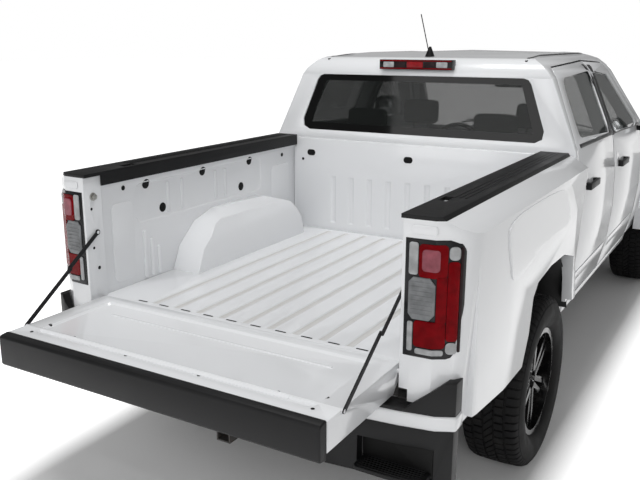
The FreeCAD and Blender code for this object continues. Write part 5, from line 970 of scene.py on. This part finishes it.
class PICKUP_OT_wheels(PieceOperator, bpy.types.Operator):
    """Tyres and wheels"""
    bl_idname = "pickup.wheels"
    bl_label = "Wheels"

    hub_face, nut_circle, nuts = 0.052, 0.057, 6
    # Sidewall and tread from the middle of one side: distance out, radius, groove depth share, pitch shift
    section = [(0.0175, 0.3850, 1, 0), (0.0195, 0.3765, 0, 0), (0.0245, 0.3765, 0, 0.5),
               (0.0265, 0.3848, 1, 0.5), (0.0430, 0.3844, 1, 0.5), (0.0600, 0.3838, 1, 0.5),
               (0.0620, 0.3755, 0, 0.5),
               (0.0700, 0.3752, 0, 0.2), (0.0720, 0.3832, 1, 0.2), (0.0870, 0.3818, 1, 0.2),
               (0.1000, 0.3792, 1, 0.2), (0.1100, 0.3730, 0.9, 0.2), (0.1165, 0.3630, 0.6, 0.2),
               (0.1200, 0.3530, 0, 0.2), (0.1228, 0.3510, 0, 0), (0.1272, 0.3390, 0, 0),
               (0.1300, 0.3210, 0, 0), (0.1304, 0.3060, 0, 0), (0.1288, 0.3020, 0, 0),
               (0.1280, 0.2900, 0, 0), (0.1240, 0.2740, 0, 0),
               (0.1170, 0.2580, 0, 0), (0.1080, 0.2460, 0, 0), (0.1010, 0.2420, 0, 0), (0.0990, 0.2320, 0, 0)]
    # Place round a tread block, as a share of its pitch, and whether the groove is there
    blocks = ((0.0, 1), (0.05, 0), (0.78, 0), (0.83, 1))

    def make(self, scene):
        for end in ("rear", "front"):
            for side, sign in SIDES:
                self.tyre(f"tyre_{end}_{side}", scene.pickup_tyre)
                self.wheel(end, side, sign)

    def tyre(self, node, sizes):
        centre = middle(node)
        shape = bmesh.new()
        profile = [(-x, *rest) for x, *rest in reversed(self.section)] + self.section
        rings = []
        for pitch in range(sizes.pitches):
            for share, sunk in self.blocks:
                ring = []
                for x, radius, cut, shift in profile:
                    turn = math.tau * (pitch + share + (shift if x > 0 else 1 - shift)) / sizes.pitches
                    reach = radius - sunk * cut * sizes.depth
                    ring.append(centre + Vector((x, reach * math.cos(turn), reach * math.sin(turn))))
                rings.append([shape.verts.new(spot) for spot in ring])
        skin(shape, rings + rings[:1])
        bmesh.ops.recalc_face_normals(shape, faces=shape.faces)
        show(f"{node}_form", shape, "tyre_rubber", body_of(node), 30, (node,))

    def wheel(self, end, side, sign):
        """Softened rim with its nuts, hub cap and valve."""
        node = f"wheel_{end}_{side}"
        dress(node, "wheel_black", 0.0015, 25)
        centre = middle(f"tyre_{end}_{side}")
        out = Vector((sign, 0, 0))
        face = centre + out * self.hub_face
        turns = [math.tau * (index + 0.5) / self.nuts for index in range(self.nuts)]
        lathed(f"lug_nuts_{end}_{side}", "chrome",
               [(-0.004, 0.013), (0.001, 0.013), (0.003, 0.0105), (0.014, 0.0105), (0.017, 0.008),
                (0.0175, 0)],
               [face + Vector((0, math.cos(turn), math.sin(turn))) * self.nut_circle for turn in turns],
               out, 6, body_of(node))
        lathed(f"hub_cap_{end}_{side}", "lamp_rim",
               [(-0.004, 0.034), (0.002, 0.034), (0.005, 0.031), (0.006, 0.024), (0.0048, 0.022),
                (0.0055, 0.012), (0.006, 0)], [face], out, 24, body_of(node))
        stem = centre + Vector((sign * 0.078, 0.02, 0.216))
        bends = ((0, 0, 0), (sign * 0.012, 0, -0.006), (sign * 0.030, 0, -0.014))
        piped(f"valve_{end}_{side}", "trim_plastic", [([stem + Vector(bend) for bend in bends], 0.004)],
              body_of(node))


class PICKUP_OT_cabin(PieceOperator, bpy.types.Operator):
    """Seats, dashboard, steering wheel and floor"""
    bl_idname = "pickup.cabin"
    bl_label = "Cabin"

    # Name: size, how far the cover may swell, places and backward lean of its copies
    cushions = {
        "front_seat": ((0.500, 0.490, 0.132), 0.016, [(sign * 0.38, 1.905, 0.737) for sign in SIGNS], 0),
        "front_back": ((0.500, 0.118, 0.590), 0.014, [(sign * 0.38, 1.636, 0.990) for sign in SIGNS], 7.9),
        "bench_seat": ((0.634, 0.480, 0.132), 0.016, [(sign * 0.325, 1.115, 0.737) for sign in SIGNS], 0),
        "bench_back": ((0.634, 0.118, 0.590), 0.014, [(sign * 0.325, 0.846, 0.990) for sign in SIGNS], 7.9),
        "headrest": ((0.246, 0.086, 0.160), 0.008, [(sign * 0.38, y, 1.398) for sign in SIGNS
                                                    for y in REST_ROWS], 0),
    }
    pressure, frames = 4, 20

    def make(self, scene):
        dress("dashboard steering_wheel cab_floor", "cabin_plastic", 0.004)
        self.seats(scene)
        self.fittings()

    def seats(self, scene):
        """Padded covers swollen by simulated cloth, then sewn with channels."""
        first = True
        for name, (size, cap, places, lean) in self.cushions.items():
            mesh = self.swollen(scene, name, Vector(size), cap)
            turn = Matrix.Rotation(math.radians(lean), 4, "X")
            for index, spot in enumerate(places):
                shape = bmesh.new()
                shape.from_mesh(mesh)
                if name != "headrest":
                    self.sew(shape, Vector(size))
                bmesh.ops.transform(shape, matrix=Matrix.Translation(at(*spot)) @ turn, verts=shape.verts)
                piece = show(f"{name}_{index + 1}", shape, "seat_cloth", "root", 180,
                             ("seats",) if first else ())
                first = False
                rounder = piece.modifiers.new("rounder", "SUBSURF")
                rounder.levels = rounder.render_levels = 1
            bpy.data.meshes.remove(mesh)

    def swollen(self, scene, name, size, cap):
        """A box-shaped cover blown up a little by cloth pressure, no point moving further than the cap."""
        shape = bmesh.new()
        bmesh.ops.create_cube(shape, size=1)
        bmesh.ops.scale(shape, verts=shape.verts, vec=size - Vector((cap, cap, cap)) * 1.2)
        bevel(shape, shape.edges[:], min(size) * 0.3, 4)
        mesh = bpy.data.meshes.new(name)
        shape.to_mesh(mesh)
        shape.free()
        cover = bpy.data.objects.new(f"{name}_cover", mesh)
        scene.collection.objects.link(cover)
        remesh = cover.modifiers.new("remesh", "REMESH")
        remesh.mode = "VOXEL"
        remesh.voxel_size = 0.012 if max(size) > 0.3 else 0.008
        cover = self.applied(scene, cover)
        rest = [vert.co.copy() for vert in cover.data.vertices]
        cloth = cover.modifiers.new("cloth", "CLOTH")
        cloth.settings.use_pressure = True
        cloth.settings.uniform_pressure_force = self.pressure
        cloth.settings.effector_weights.gravity = 0
        cloth.point_cache.frame_start = 1
        cloth.point_cache.frame_end = self.frames
        for number in range(1, self.frames + 1):
            scene.frame_set(number)
        cover = self.applied(scene, cover)
        scene.frame_set(1)
        for vert, start in zip(cover.data.vertices, rest):
            shift = vert.co - start
            if shift.length > cap:
                vert.co = start + shift * (cap / shift.length)
        mesh = cover.data.copy()
        bpy.data.objects.remove(cover)
        return mesh

    def applied(self, scene, source):
        """The object again, with its modifiers worked into its mesh."""
        graph = bpy.context.evaluated_depsgraph_get()
        mesh = bpy.data.meshes.new_from_object(source.evaluated_get(graph))
        fresh = bpy.data.objects.new(source.name + "_done", mesh)
        scene.collection.objects.link(fresh)
        bpy.data.objects.remove(source)
        return fresh

    def sew(self, shape, size):
        """Pull in the seams: two along the bolsters and some across between them."""
        flat, tall = (1, 2) if size.y < size.z else (2, 1)
        bolster, width, depth = size.x * 0.29, 0.010, 0.008
        for vert in shape.verts:
            pull = math.exp(-((abs(vert.co.x) - bolster) / width) ** 2)
            if abs(vert.co.x) < bolster:
                for share in (-0.30, -0.10, 0.10, 0.30):
                    gap = vert.co[tall] - share * size[tall]
                    pull = max(pull, 0.8 * math.exp(-(gap / width) ** 2))
            level = abs(vert.co[flat]) / (size[flat] / 2)
            vert.co[flat] -= math.copysign(depth * pull * min(1.0, level * 1.3), vert.co[flat])

    def fittings(self):
        """Headrest posts, seat mounts, inside mirror, vents and screen."""
        piped("headrest_posts", "chrome",
              [([at(sign * x, y - back, z) for back, z in ((0.004, 1.255), (0.002, 1.30), (0, 1.345))], 0.006)
               for sign in SIGNS for y in REST_ROWS for x in (0.33, 0.43)])
        relief("seat_mounts", "cabin_plastic",
               *[([rounded((-0.17, -0.125), (0.17, 0.125), 0.03)],
                  facing(at(sign * 0.38, y, 0.620), (0, 0, 1)), 0.058, 0, 0.006)
                 for sign in SIGNS for y in (1.90, 1.09)])
        relief("inside_mirror", "smooth_plastic",
               ([rounded((-0.12, -0.032), (0.12, 0.032), 0.02)], facing(at(0, 2.330, 1.560), (0, -1, 0)),
                0.022, 0, 0.006))
        vents = ((-0.60, 1.055), (-0.13, 1.060), (0.13, 1.060), (0.60, 1.055))
        relief("dash_parts", "smooth_plastic",
               ([rounded((x - 0.05, z - 0.03), (x + 0.05, z + 0.03), 0.01) for x, z in vents]
                + [rounded((-0.10, 0.915), (0.10, 1.015), 0.008)],
                draped("dashboard", (0, 1, 0), 2.0, 0.8), 0.006, 0, 0.002))


class PICKUP_OT_underbody(PieceOperator, bpy.types.Operator):
    """Frame, axles, springs, driveline, tank, exhaust and hitch"""
    bl_idname = "pickup.underbody"
    bl_label = "Underbody"

    def make(self, scene):
        coat("chassis_frame rear_axle rear_springs front_suspension tow_hitch", "frame_black")
        coat("engine_block prop_shaft knuckle_left knuckle_right steering_rack", "cast_metal")
        coat("exhaust", "pipe_steel")
        coat("fuel_tank", "tank_plastic")
        coat("spare_wheel", "tyre_rubber")
        coat("upper_stays lower_stays", "strap_steel")
        runs = []
        for _, sign in SIDES:
            foot = at(sign * 0.52, WHEELBASE, 0)
            runs += [(self.coil(foot, 0.060, 0.585, 0.840, 6), 0.007),
                     ([foot + Vector((0, 0, z)) for z in (0.575, 0.70, 0.86)], 0.026, 16)]
        piped("front_springs", "frame_black", runs)

    def coil(self, centre, radius, low, high, turns, steps=14):
        """Points along a coil spring."""
        points = []
        for index in range(turns * steps + 1):
            turn = math.tau * index / steps
            rise = low + (high - low) * index / (turns * steps)
            points.append(centre + Vector((radius * math.cos(turn), radius * math.sin(turn), rise)))
        return points


class PICKUP_OT_stage(PieceOperator, bpy.types.Operator):
    """Floor, lamps, world and camera"""
    bl_idname = "pickup.stage"
    bl_label = "Stage"

    # Half size of the ground round the object that keeps its shadow, before the floor fades to white
    shadow_x, shadow_y = 0.86, 2.70

    def make(self, scene):
        self.floor(scene)
        self.world(scene)
        self.lamps(scene)
        self.camera(scene)

    def floor(self, scene):
        shape = bmesh.new()
        bmesh.ops.create_grid(shape, x_segments=1, y_segments=1, size=60)
        bmesh.ops.translate(shape, verts=shape.verts, vec=(0, 0, -0.0005))
        mesh = bpy.data.meshes.new("studio_floor")
        shape.to_mesh(mesh)
        shape.free()
        floor = bpy.data.objects.new("studio_floor", mesh)
        scene.collection.objects.link(floor)
        finish = Finish("floor", roughness=0.9, emission_strength=1.0)
        finish.set("Base Color", finish.mix(finish.noise(0.6) * 0.05, tuple(scene.pickup_stage.floor),
                                            (0.8, 0.8, 0.8)))
        beside = (finish.axis("X").math("ABSOLUTE") - self.shadow_x).math("MAXIMUM", 0)
        beyond = (finish.axis("Y").math("ABSOLUTE") - self.shadow_y).math("MAXIMUM", 0)
        near = (beside ** 2 + beyond ** 2) ** 0.5
        ray = finish.rays()
        seen = Field(finish, ray["Is Camera Ray"]).math("MAXIMUM", ray["Is Glossy Ray"]).math(
            "MAXIMUM", ray["Is Transmission Ray"])
        finish.set("Emission Color", finish.mix(near.step(0.17, 0.22) * seen, (0, 0, 0), (1, 1, 1)))
        mesh.materials.append(finish.material)

    def world(self, scene):
        """White where it is seen, and a low fill for all other rays."""
        scene.world = bpy.data.worlds.new("studio")
        sky = Nodes(scene.world, "Background")
        ray = sky.rays()
        seen = Field(sky, ray["Is Camera Ray"]).math("MAXIMUM", ray["Is Transmission Ray"])
        level = sky.node("ShaderNodeMapRange", {}, {"Value": seen, "To Min": 0.28, "To Max": 1.0})
        sky.set("Color", (1, 1, 1, 1))
        sky.set("Strength", level.outputs["Result"])

    def lamps(self, scene):
        """Square soft lamps: place, aim, size and power."""
        for name, place, aim, size, power in (
                ("key", (0.2, -1.6, 6.0), (0.2, -1.0, 0.5), 1.8, scene.pickup_stage.key),
                ("side", (3.5, -8.0, 3.6), (0.0, -1.5, 1.0), 3.0, 135),
                ("back", (-1.5, -7.5, 3.4), (0, -1.5, 0.9), 3.5, 84)):
            light = bpy.data.lights.new(name, "AREA")
            light.shape = "SQUARE"
            light.size = size
            light.energy = power
            lamp = bpy.data.objects.new(name, light)
            scene.collection.objects.link(lamp)
            lamp.location = place
            lamp.rotation_euler = (Vector(aim) - Vector(place)).to_track_quat("-Z", "Y").to_euler()

    def camera(self, scene):
        """The photograph's viewpoint."""
        tilt_down, roll, heading = 14.21, 0.09, 31.11
        data = bpy.data.cameras.new("camera")
        data.sensor_width = 36
        data.lens = scene.pickup_stage.lens
        data.shift_x = 0.0211
        data.shift_y = -0.0040
        camera = bpy.data.objects.new("camera", data)
        scene.collection.objects.link(camera)
        camera.location = at(1.664, -3.264, 1.853)
        camera.rotation_euler = [math.radians(angle) for angle in (90 - tilt_down, roll, heading)]
        scene.camera = camera
        scene.view_settings.view_transform = "Standard"


PIECE_OPERATORS = (PICKUP_OT_body, PICKUP_OT_bed, PICKUP_OT_trim, PICKUP_OT_glass, PICKUP_OT_lamps,
                   PICKUP_OT_wheels, PICKUP_OT_cabin, PICKUP_OT_underbody, PICKUP_OT_stage)


class PICKUP_PT_panel(bpy.types.Panel):
    """Lists the pieces of the pickup"""
    bl_idname = "PICKUP_PT_panel"
    bl_label = "Pickup"
    bl_space_type = "VIEW_3D"
    bl_region_type = "UI"
    bl_category = "Pickup"

    def draw(self, context):
        for operator in PIECE_OPERATORS:
            self.layout.operator(operator.bl_idname)
        for group in (context.scene.pickup_paint, context.scene.pickup_tyre, context.scene.pickup_stage):
            for key in group.__annotations__:
                self.layout.prop(group, key)


GROUPS = (("pickup_paint", PaintSizes), ("pickup_tyre", TyreSizes), ("pickup_stage", StageSizes))


def register():
    for name, group in GROUPS:
        bpy.utils.register_class(group)
        setattr(bpy.types.Scene, name, PointerProperty(type=group))
    for operator in PIECE_OPERATORS:
        bpy.utils.register_class(operator)
    bpy.utils.register_class(PICKUP_PT_panel)


def unregister():
    bpy.utils.unregister_class(PICKUP_PT_panel)
    for operator in reversed(PIECE_OPERATORS):
        bpy.utils.unregister_class(operator)
    for name, group in reversed(GROUPS):
        delattr(bpy.types.Scene, name)
        bpy.utils.unregister_class(group)


def main():
    """Make every piece in order."""
    register()
    for operator in PIECE_OPERATORS:
        area, name = operator.bl_idname.split(".")
        getattr(getattr(bpy.ops, area), name)()


if __name__ == "__main__":
    main()
